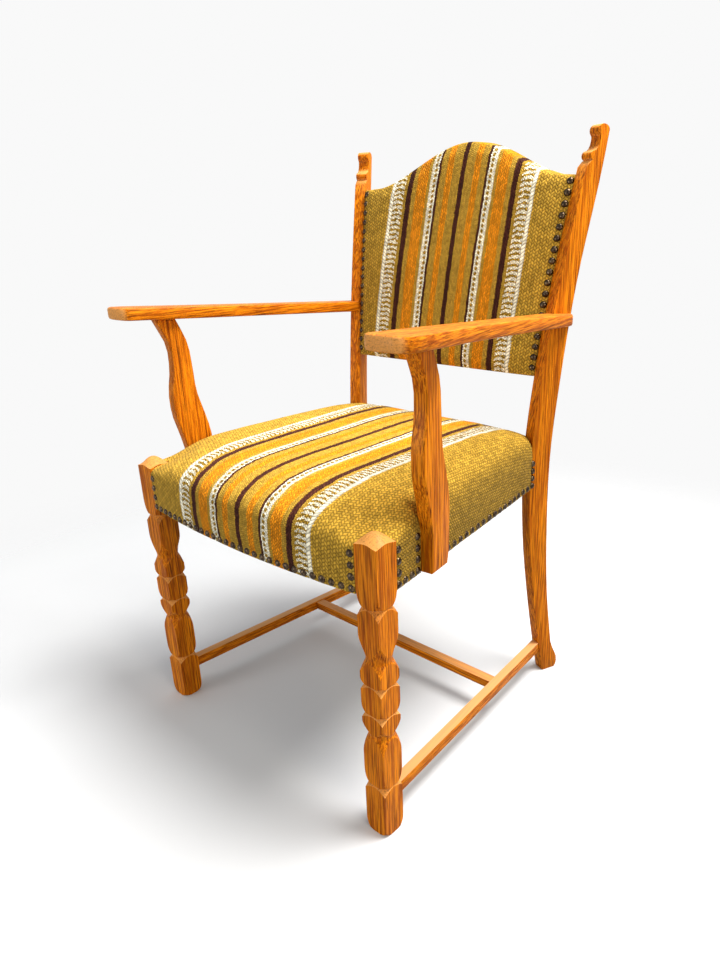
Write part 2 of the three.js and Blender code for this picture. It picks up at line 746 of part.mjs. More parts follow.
/** A closed skin over rings of equally many points, ended by a fan at each end. */
function loftSolid(rings) {
  const count = rings[0].length;
  const centreOf = (ring) => ring.reduce((sum, p) => sum.add(p), new THREE.Vector3()).divideScalar(count);
  const points = [centreOf(rings[0]), ...rings.flat(), centreOf(rings.at(-1))];
  const index = [];
  const at = (ring, i) => 1 + ring * count + (i % count);
  for (let i = 0; i < count; i++) {
    index.push(0, at(0, i + 1), at(0, i));
    for (let ring = 0; ring + 1 < rings.length; ring++) {
      index.push(at(ring, i), at(ring, i + 1), at(ring + 1, i));
      index.push(at(ring, i + 1), at(ring + 1, i + 1), at(ring + 1, i));
    }
    index.push(points.length - 1, at(rings.length - 1, i), at(rings.length - 1, i + 1));
  }
  const geometry = new THREE.BufferGeometry().setFromPoints(points);
  geometry.setIndex(index);
  return solidOf(geometry);
}

// Crown of the back: how far in from the edge and how far behind the posts' front, as shares of panelCrown.
const panelCrownShares = [[0, 0.4], [0.2, -0.3], [1.2, -0.8], [6, -1.05], [14, -1.2], [26, -1.3]];
// Rings that carry the curve of the posts across the flat faces of the back, as shares of its half height.
const panelFlatShares = [0.95, 0.55, 0.24, 0.08];

const panelHalfHeight = (panelShoulder - panelBottom) / 2;

function panelSkin(inset, rearDepth) {
  const rings = panelFlatShares.map((share) => panelRing(inset, share * panelHalfHeight, rearDepth));
  rings.push(panelRing(inset, 0, rearDepth));
  for (const [inShare, depthShare] of panelCrownShares) {
    rings.push(panelRing(inset, panelCrown * inShare, inset + panelCrown * depthShare));
  }
  return loftSolid(rings);
}

function backCoverSolid() {
  const hollow = panelSkin(coverThickness, panelThickness + overrun);
  return panelSkin(0, panelThickness).subtract(hollow)
    .subtract(bothSides(backTenon(crestTenonHeight, fit).add(backTenon(lowerTenonHeight, fit))));
}

// Depths of the layers of the back, from the front.
const frameRear = panelThickness - outsideCoverThickness - fit;
const frameFront = frameRear - backFrameThickness;
const strapFront = frameFront - fit - strapThickness;
const layerInset = coverThickness + fit;

function outsideBackSolid() {
  const front = panelThickness - outsideCoverThickness;
  const rings = panelFlatShares.map((share) => panelRing(layerInset, share * panelHalfHeight, panelThickness));
  rings.push(panelRing(layerInset, 0, panelThickness), panelRing(layerInset, 0, front));
  for (const share of panelFlatShares.toReversed()) {
    rings.push(panelRing(layerInset, share * panelHalfHeight, front));
  }
  return loftSolid(rings);
}

function backPaddingSolid() {
  return panelSkin(layerInset, strapFront - fit);
}

const crestBottom = panelShoulder - crestDepth;
const lowerRailTop = panelBottom + layerInset + lowerRailHeight;

function backTenon(z, grow = 0) {
  const t = (frameFront + frameRear) / 2;
  const y = panelFront(z).y + t;
  const face = panelHalf(z, t);
  return barSolid(plan(face - stileWidth, y, z), plan(face + tenonLength, y, z),
    backTenonThickness, backTenonHeight, grow);
}

const crestTenonHeight = crestBottom + backTenonHeight / 2 + tenonShoulder;
const lowerTenonHeight = panelBottom + layerInset + lowerRailHeight / 2;

function backRailSlab(top, bottom) {
  const ring = (t) => panelRing(layerInset, 0, t, top, bottom);
  return loftSolid([ring(frameRear), ring(frameFront)]);
}

function crestRailSolid() {
  const rail = backRailSlab(crestAt, crestBottom - layerInset);
  return rail.add(bothSides(backTenon(crestTenonHeight)));
}

function lowerBackRailSolid() {
  const lowerEdge = () => lowerRailTop + layerInset;
  const rail = backRailSlab(lowerEdge, panelBottom);
  return rail.add(bothSides(backTenon(lowerTenonHeight)));
}

function backStileSolid() {
  const rings = [];
  for (let step = 0; step <= sideSteps; step++) {
    const z = mix(lowerRailTop + fit, crestBottom - fit, step / sideSteps);
    const inner = (t) => panelHalf(z, t) - layerInset - stileWidth;
    const outer = (t) => panelHalf(z, t) - layerInset;
    rings.push([
      panelPlace(inner(frameFront), frameFront, z), panelPlace(outer(frameFront), frameFront, z),
      panelPlace(outer(frameRear), frameRear, z), panelPlace(inner(frameRear), frameRear, z),
    ]);
  }
  return loftSolid(rings);
}

function backStrapSolid(index) {
  const low = lowerRailTop + (crestBottom - lowerRailTop - strapWidth) * (index / (backStrapCount - 1));
  const rings = [];
  for (const z of [low, low + strapWidth / 2, low + strapWidth]) {
    const reach = (t) => panelHalf(z, t) - layerInset;
    const rear = strapFront + strapThickness;
    rings.push([
      panelPlace(-reach(strapFront), strapFront, z), panelPlace(reach(strapFront), strapFront, z),
      panelPlace(reach(rear), rear, z), panelPlace(-reach(rear), rear, z),
    ]);
  }
  return loftSolid(rings);
}

// Seat upholstery: the cover hangs outside the rails and crowns over them

const seatBottom = railBottom - coverHang;
const seatRear = backRailY + railThickness / 2 + fit + coverThickness;
const seatSideAt = (y) => sideLineAt(y) + (coverThickness + fit) / railOut.x;
const seatFrontAt = (x) => bowAt(x, -(coverThickness + fit));
// How much softer the front edge and the back edge roll over than the sides.
const frontSoftShare = 1.35;
const rearSoftShare = 1.6;
// The straight skirt of the cover ends at this share of the way from its lower edge to the crown. Above it the
// seat sinks towards the front legs, by up to the second share.
const skirtShare = 0.55;
const cornerSinkShare = 0.6;
// Crown of the seat: inset from the edge as a share of the seat's half width, and height as a share of the way
// from the cover's lower edge to the crown.
const seatCrownShares = [
  [0, 0], [0, skirtShare], [0.004, 0.64], [0.018, 0.73], [0.042, 0.8], [0.08, 0.865], [0.14, 0.925], [0.26, 0.97], [0.5, 1],
];

/** Height of the cover at a place, sunk towards the leg from what it would be. */
function sunkHeight(x, y, height, skirtTop) {
  const away = Math.hypot(Math.abs(x) - (legX - legHalf), y - legHalf) / cornerSinkReach;
  return height - cornerSinkShare * Math.exp(-away * away) * Math.max(height - skirtTop, 0);
}

/** Points round the seat at a height, drawn in from the cover's faces by inset and by the roll of its edge. */
function seatRing(inset, roll, height, skirtTop) {
  const ring = [];
  const place = (x, y) => plan(x, y, sunkHeight(x, y, height, skirtTop));
  const front = (x) => seatFrontAt(x) + inset + roll * frontSoftShare;
  const rear = seatRear - inset - roll * rearSoftShare;
  const side = (y) => seatSideAt(y) - inset - roll;
  const cornerX = side(front(legX));
  const cornerFall = (share) => Math.min(roll, frontCornerRoll) * Math.pow(Math.abs(share), cornerPower);
  const cornerY = front(cornerX) + cornerFall(1);
  for (let step = 0; step < bowSteps; step++) {
    const x = Math.sin((Math.PI / 2) * mix(-1, 1, step / bowSteps)) * cornerX;
    ring.push(place(x, front(x) + cornerFall(x / cornerX)));
  }
  // Closer together near the front corners, where the seat sinks.
  const sideShares = Array.from({ length: seatSideSteps }, (_, step) => Math.pow(step / seatSideSteps, 2));
  for (const share of sideShares) ring.push(place(mix(cornerX, side(rear), share), mix(cornerY, rear, share)));
  for (let step = 0; step < flatSteps; step++) ring.push(place(mix(1, -1, step / flatSteps) * side(rear), rear));
  for (const share of [1, ...sideShares.slice(1).reverse()]) {
    ring.push(place(-mix(cornerX, side(rear), share), mix(cornerY, rear, share)));
  }
  return ring;
}

function seatSkin(inset, bottom, crown) {
  const halfWidth = seatSideAt(0);
  const skirtTop = mix(seatBottom, crown, skirtShare);
  const rings = seatCrownShares.map(([inShare, heightShare]) =>
    seatRing(inset, halfWidth * inShare, mix(seatBottom, crown, heightShare), skirtTop));
  rings[0] = seatRing(inset, 0, bottom, skirtTop);
  return loftSolid(rings);
}

/** The corners of the seat that the legs and posts stand in, with room round each and grow more. */
function cornerRoom(grow) {
  const inner = legX - legHalf - fit - grow;
  const rear = legHalf + fit + grow;
  const far = legSpread;
  const atLeg = raisedSolid([plan(inner, -far), plan(far, -far), plan(far, rear), plan(inner, rear)],
    seatBottom - 2 * overrun, shoulderHeight + domeRise + legTopRoom + grow);
  return bothSides(atLeg.add(behindPostFront(-postThickness / 2 - fit - grow, postSpread, grow)));
}

const webbingTop = railTop + 2 * strapThickness + 3 * fit;

/** All of space above the seat's straps. */
function aboveStraps() {
  const box = new THREE.BoxGeometry(4 * legSpread, 4 * legSpread, legSpread);
  return solidOf(box, new THREE.Matrix4().makeTranslation(0, 0, webbingTop + legSpread / 2));
}

function seatCoverSolid() {
  const folds = cornerRoom(coverThickness).intersect(aboveStraps());
  const hollow = seatSkin(coverThickness, seatBottom - overrun, seatCrown - coverThickness).subtract(folds);
  return seatSkin(0, seatBottom, seatCrown).subtract(cornerRoom(0)).subtract(hollow)
    .subtract(bothSides(armPostRoom()));
}

function seatPaddingSolid() {
  return seatSkin(layerInset, seatBottom, seatCrown - layerInset).intersect(aboveStraps())
    .subtract(cornerRoom(layerInset));
}

const strapReachFront = bowAt(0, railThickness / 2);

function longStrapSolid(index) {
  const x = (legSpread / (longStrapCount + 1)) * (index - (longStrapCount - 1) / 2);
  const z = railTop + fit + strapThickness / 2;
  return barSolid(plan(x, strapReachFront, z), plan(x, backRailY, z), strapWidth, strapThickness);
}

function crossStrapSolid(index) {
  const y = mix(legHalf, backRailFront, (index + 1) / (crossStrapCount + 1));
  const reach = sideLineAt(y + strapWidth / 2) - railThickness / 2;
  const low = railTop + fit;
  const high = low + strapThickness + fit;
  const inner = reach - railThickness;
  const bend = inner - strapWidth / 2;
  const outline = [
    [-reach, low], [-inner, low], [-bend, high], [bend, high], [inner, low], [reach, low],
    [reach, low + strapThickness], [inner, low + strapThickness], [bend, high + strapThickness],
    [-bend, high + strapThickness], [-inner, low + strapThickness], [-reach, low + strapThickness],
  ];
  const shape = new THREE.Shape(outline.map(([x, z]) => new THREE.Vector2(x, z)));
  const strap = new THREE.ExtrudeGeometry(shape, { depth: strapWidth, bevelEnabled: false });
  strap.rotateX(Math.PI / 2);
  return solidOf(strap, new THREE.Matrix4().makeTranslation(0, y + strapWidth / 2, 0));
}

function dustCoverSolid() {
  const rim = overrun;
  const rearX = sideLineAt(backRailY) - rim;
  const frontY = legHalf + fit;
  const outline = [];
  for (let step = 0; step <= bowSteps; step++) {
    const x = mix(-1, 1, step / bowSteps) * (frontSpan - rim);
    outline.push(plan(x, bowAt(x) + rim));
  }
  outline.push(plan(frontSpan - rim, frontY), plan(sideLineAt(frontY) - rim, frontY));
  outline.push(plan(rearX - postThickness, postPoint(postFront(railBottom), 0, 0).y - rim));
  outline.push(plan(-(rearX - postThickness), postPoint(postFront(railBottom), 0, 0).y - rim));
  outline.push(plan(-(sideLineAt(frontY) - rim), frontY), plan(-(frontSpan - rim), frontY));
  return raisedSolid(outline, railBottom - fit - dustCoverThickness, railBottom - fit);
}

// Assembly

const rightPieces = {
  front_leg: [frontLegSolid().subtract(sideRailTenons(fit).front).subtract(frontRailTenon(fit))
    .subtract(sideStretcherTenons(fit).front), oak],
  back_post: [backPostSolid().subtract(sideRailTenons(fit).rear).subtract(backRailTenon(fit))
    .subtract(sideStretcherTenons(fit).rear).subtract(backTenon(crestTenonHeight, fit))
    .subtract(backTenon(lowerTenonHeight, fit)), oak],
  side_rail: [sideRailSolid().subtract(allScrews(fit)), beech],
  side_stretcher: [sideStretcherSolid(), oak],
  arm: [armSolid(), oak],
  arm_post: [armPostSolid().subtract(allScrews(fit)), oak],
  arm_post_screw_lower: [lowerScrew(0), steel],
  arm_post_screw_upper: [upperScrew(0), steel],
  front_corner_block: [cornerBlockSolid(plan(frontSpan, 0), -1, 1).subtract(legPrism(fit)), beech],
  rear_corner_block: [cornerBlockSolid(plan(sideLineAt(backRailFront) - railThickness, backRailFront), -1, -1)
    .subtract(postClear()), beech],
  back_stile: [backStileSolid(), beech],
};

const chair = new THREE.Group();
for (const [side, sign] of [["right", 1], ["left", -1]]) {
  const half = new THREE.Group();
  half.scale.x = sign;
  for (const [name, [solid, material]] of Object.entries(rightPieces)) {
    half.add(pieceFrom(`${name}_${side}`, solid, material));
  }
  chair.add(half);
}

chair.add(
  pieceFrom("front_rail", frontRailSolid(), beech),
  pieceFrom("back_rail", backRailSolid(), beech),
  pieceFrom("cross_stretcher", crossStretcherSolid(), oak),
  pieceFrom("crest_rail", crestRailSolid(), beech),
  pieceFrom("lower_back_rail", lowerBackRailSolid(), beech),
  pieceFrom("back_padding", backPaddingSolid(), padding),
  pieceFrom("back_cover", backCoverSolid(), wool),
  pieceFrom("outside_back_cover", outsideBackSolid(), wool),
  pieceFrom("seat_padding", seatPaddingSolid(), padding),
  pieceFrom("seat_cover", seatCoverSolid(), wool),
  pieceFrom("seat_dust_cover", dustCoverSolid(), lining),
);
for (let i = 0; i < backStrapCount; i++) chair.add(pieceFrom(`back_strap_${i + 1}`, backStrapSolid(i), jute));
for (let i = 0; i < longStrapCount; i++) chair.add(pieceFrom(`seat_strap_long_${i + 1}`, longStrapSolid(i), jute));
for (let i = 0; i < crossStrapCount; i++) chair.add(pieceFrom(`seat_strap_cross_${i + 1}`, crossStrapSolid(i), jute));

// The chair stands on the floor with the middle of its plan at the origin.
const extent = new THREE.Box3().setFromObject(chair);
chair.position.y = -(extent.min.y + extent.max.y) / 2;

export default chair;
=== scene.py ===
import math
import random

import bmesh
import bpy
from bpy.props import FloatProperty, FloatVectorProperty, IntProperty, PointerProperty
from mathutils import Matrix, Vector, kdtree, noise


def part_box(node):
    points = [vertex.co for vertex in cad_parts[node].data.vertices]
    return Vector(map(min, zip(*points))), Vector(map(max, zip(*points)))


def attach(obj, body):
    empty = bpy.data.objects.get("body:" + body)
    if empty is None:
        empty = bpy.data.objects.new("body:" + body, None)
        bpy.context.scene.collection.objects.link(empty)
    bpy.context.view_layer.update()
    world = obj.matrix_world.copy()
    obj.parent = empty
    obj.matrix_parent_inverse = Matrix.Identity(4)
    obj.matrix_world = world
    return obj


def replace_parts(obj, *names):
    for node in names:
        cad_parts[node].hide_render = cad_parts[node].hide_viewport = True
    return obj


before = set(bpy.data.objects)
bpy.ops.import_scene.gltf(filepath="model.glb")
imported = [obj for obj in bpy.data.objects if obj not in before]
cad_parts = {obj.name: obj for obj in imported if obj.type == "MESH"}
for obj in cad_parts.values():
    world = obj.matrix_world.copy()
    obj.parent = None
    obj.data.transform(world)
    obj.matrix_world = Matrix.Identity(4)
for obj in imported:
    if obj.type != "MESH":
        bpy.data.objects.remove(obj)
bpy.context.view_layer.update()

bl_info = {
    "name": "Captains chair",
    "version": (1, 0, 0),
    "blender": (4, 5, 0),
    "location": "3D View > Sidebar > Chair",
    "description": "Dresses the oak armchair: turned legs, eased boards, striped wool, nails and a studio",
    "category": "Object",
}

BODY = "root"
MILLIMETRES = 1000.0

# Places read from the frame, in metres: the sitter faces -Y
LEG_LOW, LEG_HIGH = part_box("front_leg_right")
SEAT_LOW, SEAT_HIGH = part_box("seat_cover")
BACK_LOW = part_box("back_cover")[0]
ARM_POST_LOW, ARM_POST_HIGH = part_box("arm_post_right")
OUTSIDE_LOW, OUTSIDE_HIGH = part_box("outside_back_cover")
LEG_SIDE = LEG_HIGH.x - LEG_LOW.x
LEG_CORNER = LEG_SIDE / 2 * math.sqrt(2)
LEG_AXIS = (LEG_LOW + LEG_HIGH) / 2
ROOM = 0.0004  # between a soft piece and the wood beside it
WELD = 0.00002  # points closer than this are one


# Shape of the seat and the back

TAPER = 0.129  # each side of the seat runs in by this much for each metre of depth
FRONT_BOW_RADIUS = 1.72
SKIRT_TOP = 0.440  # the seat's cover hangs straight below this height
SIDE_REACH = 0.132  # how far in from its sides the seat goes on rising
FRONT_REACH = 0.178
REAR_REACH = 0.205
CORNER_PULL = 0.012  # how far the front edge is drawn back beside the legs
SINK_SHARE = 0.6  # how much of its rise the seat loses at the front legs
SINK_REACH = 0.045
POST_TURN = math.radians(21.5)
POST_FOOT = (0.1946, 0.19257, 0.560)  # inner front corner of the right post beside the panel's foot
POST_LEAN = 0.1359  # slope of the posts' front edge there
POST_BEND = 0.166  # how much more it leans for each metre of height, squared
PANEL_THICKNESS = 0.027
PANEL_CROWN = 0.0065  # how far the middle of the back stands in front of the posts' corners
PANEL_EDGE = 0.002  # how far its edge lies behind them
PANEL_REACH = 0.06
CREST_MIDDLE = 0.009  # the crest's highest point stands a little to the right
CREST_REACH = 0.205
CREST_RISE = 0.0635
SHOULDER = 0.8645


def side_edge(y):
    """Half width of the seat's cover at a place along its depth."""
    return SEAT_HIGH.x - TAPER * (y - LEG_HIGH.y)


def front_edge(x):
    """The bowed front of the seat's cover."""
    bow = FRONT_BOW_RADIUS - math.sqrt(FRONT_BOW_RADIUS ** 2 - x * x)
    return SEAT_LOW.y + bow


def post_corner(z):
    """Inner front corner of the right post at a height."""
    up = z - POST_FOOT[2]
    y = POST_FOOT[1] + POST_LEAN * up + POST_BEND * up * up
    return Vector((POST_FOOT[0] + math.tan(POST_TURN) * (y - POST_FOOT[1]), y, z))


def sunk(x, y, z):
    """Height of the seat's cover, sunk towards the front legs."""
    away = math.hypot(abs(x) - LEG_LOW.x, y - LEG_HIGH.y) / SINK_REACH
    return z - SINK_SHARE * math.exp(-away * away) * max(z - SKIRT_TOP, 0)


def crest(x):
    """Height of the back's top edge."""
    share = min(abs(x - CREST_MIDDLE) / CREST_REACH, 1)
    return SHOULDER + CREST_RISE * (1 + math.cos(math.pi * share)) / 2


# Small tools

def smooth(t):
    t = min(max(t, 0.0), 1.0)
    return t * t * (3 - 2 * t)


def mix(a, b, t):
    return a + (b - a) * t


def new_object(name, bm, material):
    """A piece from a bmesh, with its material, on the chair's body."""
    mesh = bpy.data.meshes.new(name)
    bm.normal_update()
    bm.to_mesh(mesh)
    bm.free()
    mesh.materials.append(material)
    piece = bpy.data.objects.new(name, mesh)
    bpy.context.scene.collection.objects.link(piece)
    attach(piece, BODY)
    return piece


def shade(bm, degrees):
    """Smooth faces, with the edges that turn more than this kept sharp."""
    for face in bm.faces:
        face.smooth = True
    for edge in bm.edges:
        edge.smooth = len(edge.link_faces) == 2 and edge.calc_face_angle(0) < math.radians(degrees)


def grid_faces(bm, rows):
    """Faces between rows of vertices of equal length."""
    for row, following in zip(rows, rows[1:]):
        for i in range(len(row) - 1):
            bm.faces.new((row[i], row[i + 1], following[i + 1], following[i]))


def even_rows(bm, across_steps, along_steps, point_at):
    """Rows of vertices at even shares across, from -1 to 1, and along, from 0 to 1."""
    rows = []
    for j in range(along_steps + 1):
        shares = [2 * i / across_steps - 1 for i in range(across_steps + 1)]
        rows.append([bm.verts.new(point_at(share, j / along_steps)) for share in shares])
    return rows


def weld(bm, distance):
    """Joins points that lie closer than this, drops the faces that vanish and turns the rest outward."""
    bmesh.ops.remove_doubles(bm, verts=bm.verts, dist=distance)
    bmesh.ops.dissolve_degenerate(bm, dist=distance, edges=bm.edges)
    bmesh.ops.recalc_face_normals(bm, faces=bm.faces)


def turn_out(bm, axis):
    """Turns the faces of a flat cloth so that it looks along an axis."""
    bmesh.ops.recalc_face_normals(bm, faces=bm.faces)
    if max(bm.faces, key=lambda f: f.calc_area()).normal[axis] < 0:
        bmesh.ops.reverse_faces(bm, faces=bm.faces)


def cut_away(bm, planes, limits):
    """Removes the part of a surface that lies in front of every plane, cutting it cleanly along them."""
    low, high = limits

    def near(face):
        centre = face.calc_center_median()
        return all(low[k] < centre[k] < high[k] for k in range(3))

    for point, normal in planes:
        chosen = [f for f in bm.faces if near(f)]
        corners = {v for f in chosen for v in f.verts}
        parts = list(corners) + list({e for f in chosen for e in f.edges}) + chosen
        bmesh.ops.bisect_plane(bm, geom=parts, dist=WELD, plane_co=point, plane_no=normal)
    inside = []
    for face in bm.faces:
        centre = face.calc_center_median()
        if near(face) and all((centre - Vector(point)).dot(Vector(normal)) > 0 for point, normal in planes):
            inside.append(face)
    bmesh.ops.delete(bm, geom=inside, context="FACES")


def thicken(piece, thickness):
    """Cloth thickness, laid inward."""
    solid = piece.modifiers.new("Cloth thickness", "SOLIDIFY")
    solid.thickness = thickness
    solid.offset = -1
    solid.use_rim = True


# Shader building

class Reading:
    """A value, vector or colour that changes over a surface; sums written with it become shader nodes."""

    def __init__(self, tree, socket):
        self.tree = tree
        self.socket = socket

    def worked(self, operation, *others):
        """The result of a math node on this value and others."""
        return read(self.tree, "Math", dict(enumerate((self, *others))), operation=operation)

    def __add__(self, other):
        return self.worked("ADD", other)

    def __sub__(self, other):
        return self.worked("SUBTRACT", other)

    def __rsub__(self, other):
        return read(self.tree, "Math", {0: other, 1: self}, operation="SUBTRACT")

    def __mul__(self, other):
        return self.worked("MULTIPLY", other)

    def __truediv__(self, other):
        return self.worked("DIVIDE", other)

    def __abs__(self):
        return self.worked("ABSOLUTE")

    def __lt__(self, other):
        return self.worked("LESS_THAN", other)

    def __gt__(self, other):
        return self.worked("GREATER_THAN", other)

    def scaled(self, times, plus):
        """This value times one amount plus another."""
        return self.worked("MULTIPLY_ADD", times, plus)

    def fraction(self):
        return self.worked("FRACT")

    def at_least(self, other):
        return self.worked("MAXIMUM", other)

    def axes(self):
        """X, Y and Z of this vector."""
        return [Reading(self.tree, socket) for socket in place(self.tree, "SeparateXYZ", {0: self}).outputs]

    def noise(self, scale, detail, roughness=0.5, output=0):
        """Noise over this place."""
        inputs = {"Vector": self, "Scale": scale, "Detail": detail, "Roughness": roughness}
        return read(self.tree, "TexNoise", inputs, output)

    def ramp(self, stops, interpolation="LINEAR"):
        """This value looked up on a colour ramp of (position, colour or grey) stops."""
        node = place(self.tree, "ValToRGB", {0: self})
        node.color_ramp.interpolation = interpolation
        elements = node.color_ramp.elements
        while len(elements) > 1:
            elements.remove(elements[-1])
        for i, (position, colour) in enumerate(stops):
            element = elements[0] if i == 0 else elements.new(position)
            element.position = position
            element.color = (colour, colour, colour, 1) if isinstance(colour, float) else colour
        return Reading(self.tree, node.outputs[0])

    def mix(self, a, b):
        """Two colours mixed by this mask."""
        return blended(self.tree, "MIX", self, a, b)

    def darken(self, colour):
        """A colour multiplied by this tone."""
        grey = read(self.tree, "CombineColor", {0: self, 1: self, 2: self})
        return blended(self.tree, "MULTIPLY", 1.0, colour, grey)


def feed(tree, socket, value):
    """Links a reading to an input, or sets a plain value on it."""
    if isinstance(value, Reading):
        tree.links.new(value.socket, socket)
    else:
        socket.default_value = value


def place(tree, kind, inputs=(), **settings):
    """A shader node with its settings and its inputs."""
    node = tree.nodes.new("ShaderNode" + kind)
    for name, value in settings.items():
        setattr(node, name, value)
    for key, value in dict(inputs).items():
        feed(tree, node.inputs[key], value)
    return node


def read(tree, kind, inputs=(), output=0, **settings):
    """One output of a new shader node."""
    return Reading(tree, place(tree, kind, inputs, **settings).outputs[output])


def blended(tree, kind, factor, a, b):
    """Two colours mixed by a factor in the given way."""
    return read(tree, "Mix", {0: factor, 6: a, 7: b}, 2, data_type="RGBA", blend_type=kind)


SOCKETS = {type(None): "NodeSocketVector", float: "NodeSocketFloat", tuple: "NodeSocketColor"}


def group(name, inputs, outputs):
    """An empty shader node group: its tree, its inputs as readings and its output sockets. An input whose
    default is None is a vector, a number makes it a value, and a tuple a colour."""
    tree = bpy.data.node_groups.new(name, "ShaderNodeTree")
    for label, default in inputs.items():
        socket = tree.interface.new_socket(label, in_out="INPUT", socket_type=SOCKETS[type(default)])
        if default is not None:
            socket.default_value = default
    for label in outputs:
        kind = tuple if label == "Color" else float
        tree.interface.new_socket(label, in_out="OUTPUT", socket_type=SOCKETS[kind])
    entry = tree.nodes.new("NodeGroupInput")
    leave = tree.nodes.new("NodeGroupOutput")
    return tree, {label: Reading(tree, entry.outputs[label]) for label in inputs}, leave.inputs


def use_group(tree, name, build, inputs):
    """A shared node group, built the first time it is asked for, placed with a material's own values."""
    node = tree.nodes.new("ShaderNodeGroup")
    node.node_tree = bpy.data.node_groups.get(name) or build(name)
    for key, value in inputs.items():
        feed(tree, node.inputs[key], value)
    return {socket.name: Reading(tree, socket) for socket in node.outputs}


def new_material(name, **constants):
    """A material with one Principled shader whose plain values are set on its own sockets."""
    material = bpy.data.materials.new(name)
    material.use_nodes = True
    tree = material.node_tree
    shader = tree.nodes["Principled BSDF"]
    for key, value in constants.items():
        shader.inputs[key.replace("_", " ")].default_value = value
    return material, tree, shader


def finish_with(tree, shader, colour, roughness, height, strength, distance):
    """Feeds the shader's colour, its roughness and the height of its bump."""
    feed(tree, shader.inputs["Base Color"], colour)
    feed(tree, shader.inputs["Roughness"], roughness)
    bump = read(tree, "Bump", {"Strength": strength, "Distance": distance, "Height": height})
    feed(tree, shader.inputs["Normal"], bump)


def linear(red, green, blue):
    """A colour read as screen values from 0 to 255, as linear light."""
    def one(value):
        share = value / 255
        return share / 12.92 if share <= 0.04045 else ((share + 0.055) / 1.055) ** 2.4
    return (one(red), one(green), one(blue), 1.0)


# Wood grain, shared by the oak and the beech

GRAIN_TURNS = {"x": (0.0, 0.0, 0.0), "y": (0.0, 0.0, -math.pi / 2), "z": (0.0, math.pi / 2, 0.0)}
HEART = (0.19, 0.11)  # how far a board was sawn from the middle of its tree


def grain_group(name):
    """Year rings, pores and slow colour drift of a board, lighter on end grain; the vector's X runs along the
    grain, in metres, and the facing is the surface's own direction turned the same way."""
    tree, given, out = group(name, {
        "Vector": None, "Facing": None, "Ring Width": 0.005, "Waviness": 0.006, "Pore Depth": 0.6,
        "End Grain": (0.8, 0.4, 0.12, 1), "Early Wood": (0.6, 0.3, 0.1, 1), "Late Wood": (0.4, 0.17, 0.05, 1),
        "Pore Colour": (0.16, 0.06, 0.02, 1)}, ("Color", "Roughness", "Height"))
    early_wood, late_wood = given["Early Wood"], given["Late Wood"]
    drawn = read(tree, "Mapping", {"Vector": given["Vector"], "Scale": (0.05, 1, 1)})
    fine = read(tree, "Mapping", {"Vector": given["Vector"], "Scale": (0.03, 1, 1)})
    _, across, deep = drawn.axes()
    across = across + HEART[0]
    deep = deep + HEART[1]
    radius = (across * across + deep * deep).worked("SQRT")
    waved = drawn.noise(26.0, 3.0).scaled(given["Waviness"] * 6.0, radius)
    ring = (waved / given["Ring Width"]).fraction()
    late = ring.ramp([(0.0, 1.0), (0.1, 0.35), (0.45, 0.05), (0.8, 0.25), (1.0, 1.0)])
    pore = fine.noise(560.0, 2.0, 0.6).ramp([(0.49, 0.0), (0.58, 1.0)])
    fibre = fine.noise(330.0, 4.0, 0.7)
    base = (late * 0.4).mix(early_wood, late_wood)
    streaked = fibre.ramp([(0.44, 0.0), (0.58, 0.9)]).mix(base, late_wood)
    drifted = drawn.noise(45.0, 2.0).ramp([(0.4, 0.0), (0.65, 0.3)]).mix(streaked, late_wood)
    end = abs(given["Facing"].axes()[0]).ramp([(0.42, 0.0), (0.75, 1.0)])
    pale = (end * 0.7).mix(drifted, given["End Grain"])
    pored = pore * given["Pore Depth"] * late.scaled(0.6, end.scaled(-0.35, 0.4))
    feed(tree, out["Color"], pored.mix(pale, given["Pore Colour"]))
    feed(tree, out["Roughness"], pored.scaled(0.25, fibre * 0.12))
    feed(tree, out["Height"], fibre * 0.35 - pored)
    return tree


def wood_material(name, along, grain, coat, roughness, bump, shift=(0, 0, 0), swing=0.0, painted_top_sheen=0.0):
    """Oak or beech whose grain runs along x, y or z, swung by an angle in plan, and whose upward faces are
    painted pale by the given share: a painted reflection of the light above."""
    wood = bpy.context.scene.chair_wood
    material, tree, shader = new_material(name, Specular_IOR_Level=0.04, Coat_Weight=coat,
                                          Coat_Roughness=0.25)
    turn = Vector(GRAIN_TURNS[along]) - Vector((0, 0, swing))
    where = read(tree, "TexCoord", output="Object")
    normal = read(tree, "TexCoord", output="Normal")
    board = use_group(tree, "Wood grain", grain_group, {
        "Vector": read(tree, "Mapping", {"Vector": where, "Location": shift, "Rotation": turn}),
        "Facing": read(tree, "Mapping", {"Vector": normal, "Rotation": turn}, vector_type="VECTOR"),
        "Ring Width": wood.ring_width, **grain})
    # Painted reflection: upward faces are mixed towards a pale oak colour that stands for the bright light
    # above reflected off them
    wear_and_painted_sheen = normal.axes()[2].ramp([(0.55, 0.0), (0.85, painted_top_sheen)])
    finish_with(tree, shader, wear_and_painted_sheen.mix(board["Color"], (*wood.painted_top_sheen, 1)), board["Roughness"] + roughness,
                board["Height"], bump, 0.0004)
    return material


def oak(name, along, *placed):
    """Oak under satin lacquer."""
    wood = bpy.context.scene.chair_wood
    grain = {"Early Wood": (*wood.early, 1), "Late Wood": (*wood.late, 1), "Pore Colour": (*wood.pore, 1),
             "Waviness": 0.006, "Pore Depth": 0.8}
    return wood_material(name, along, grain, 0.06, wood.roughness, 0.6, *placed)


def beech(name, along):
    """Bare beech, as sawn."""
    grain = {"Early Wood": linear(214, 178, 132), "Late Wood": linear(190, 148, 102),
             "Pore Colour": linear(140, 98, 60), "Waviness": 0.004, "Pore Depth": 0.3}
    return wood_material(name, along, grain, 0.0, 0.6, 0.3)


# Striped wool

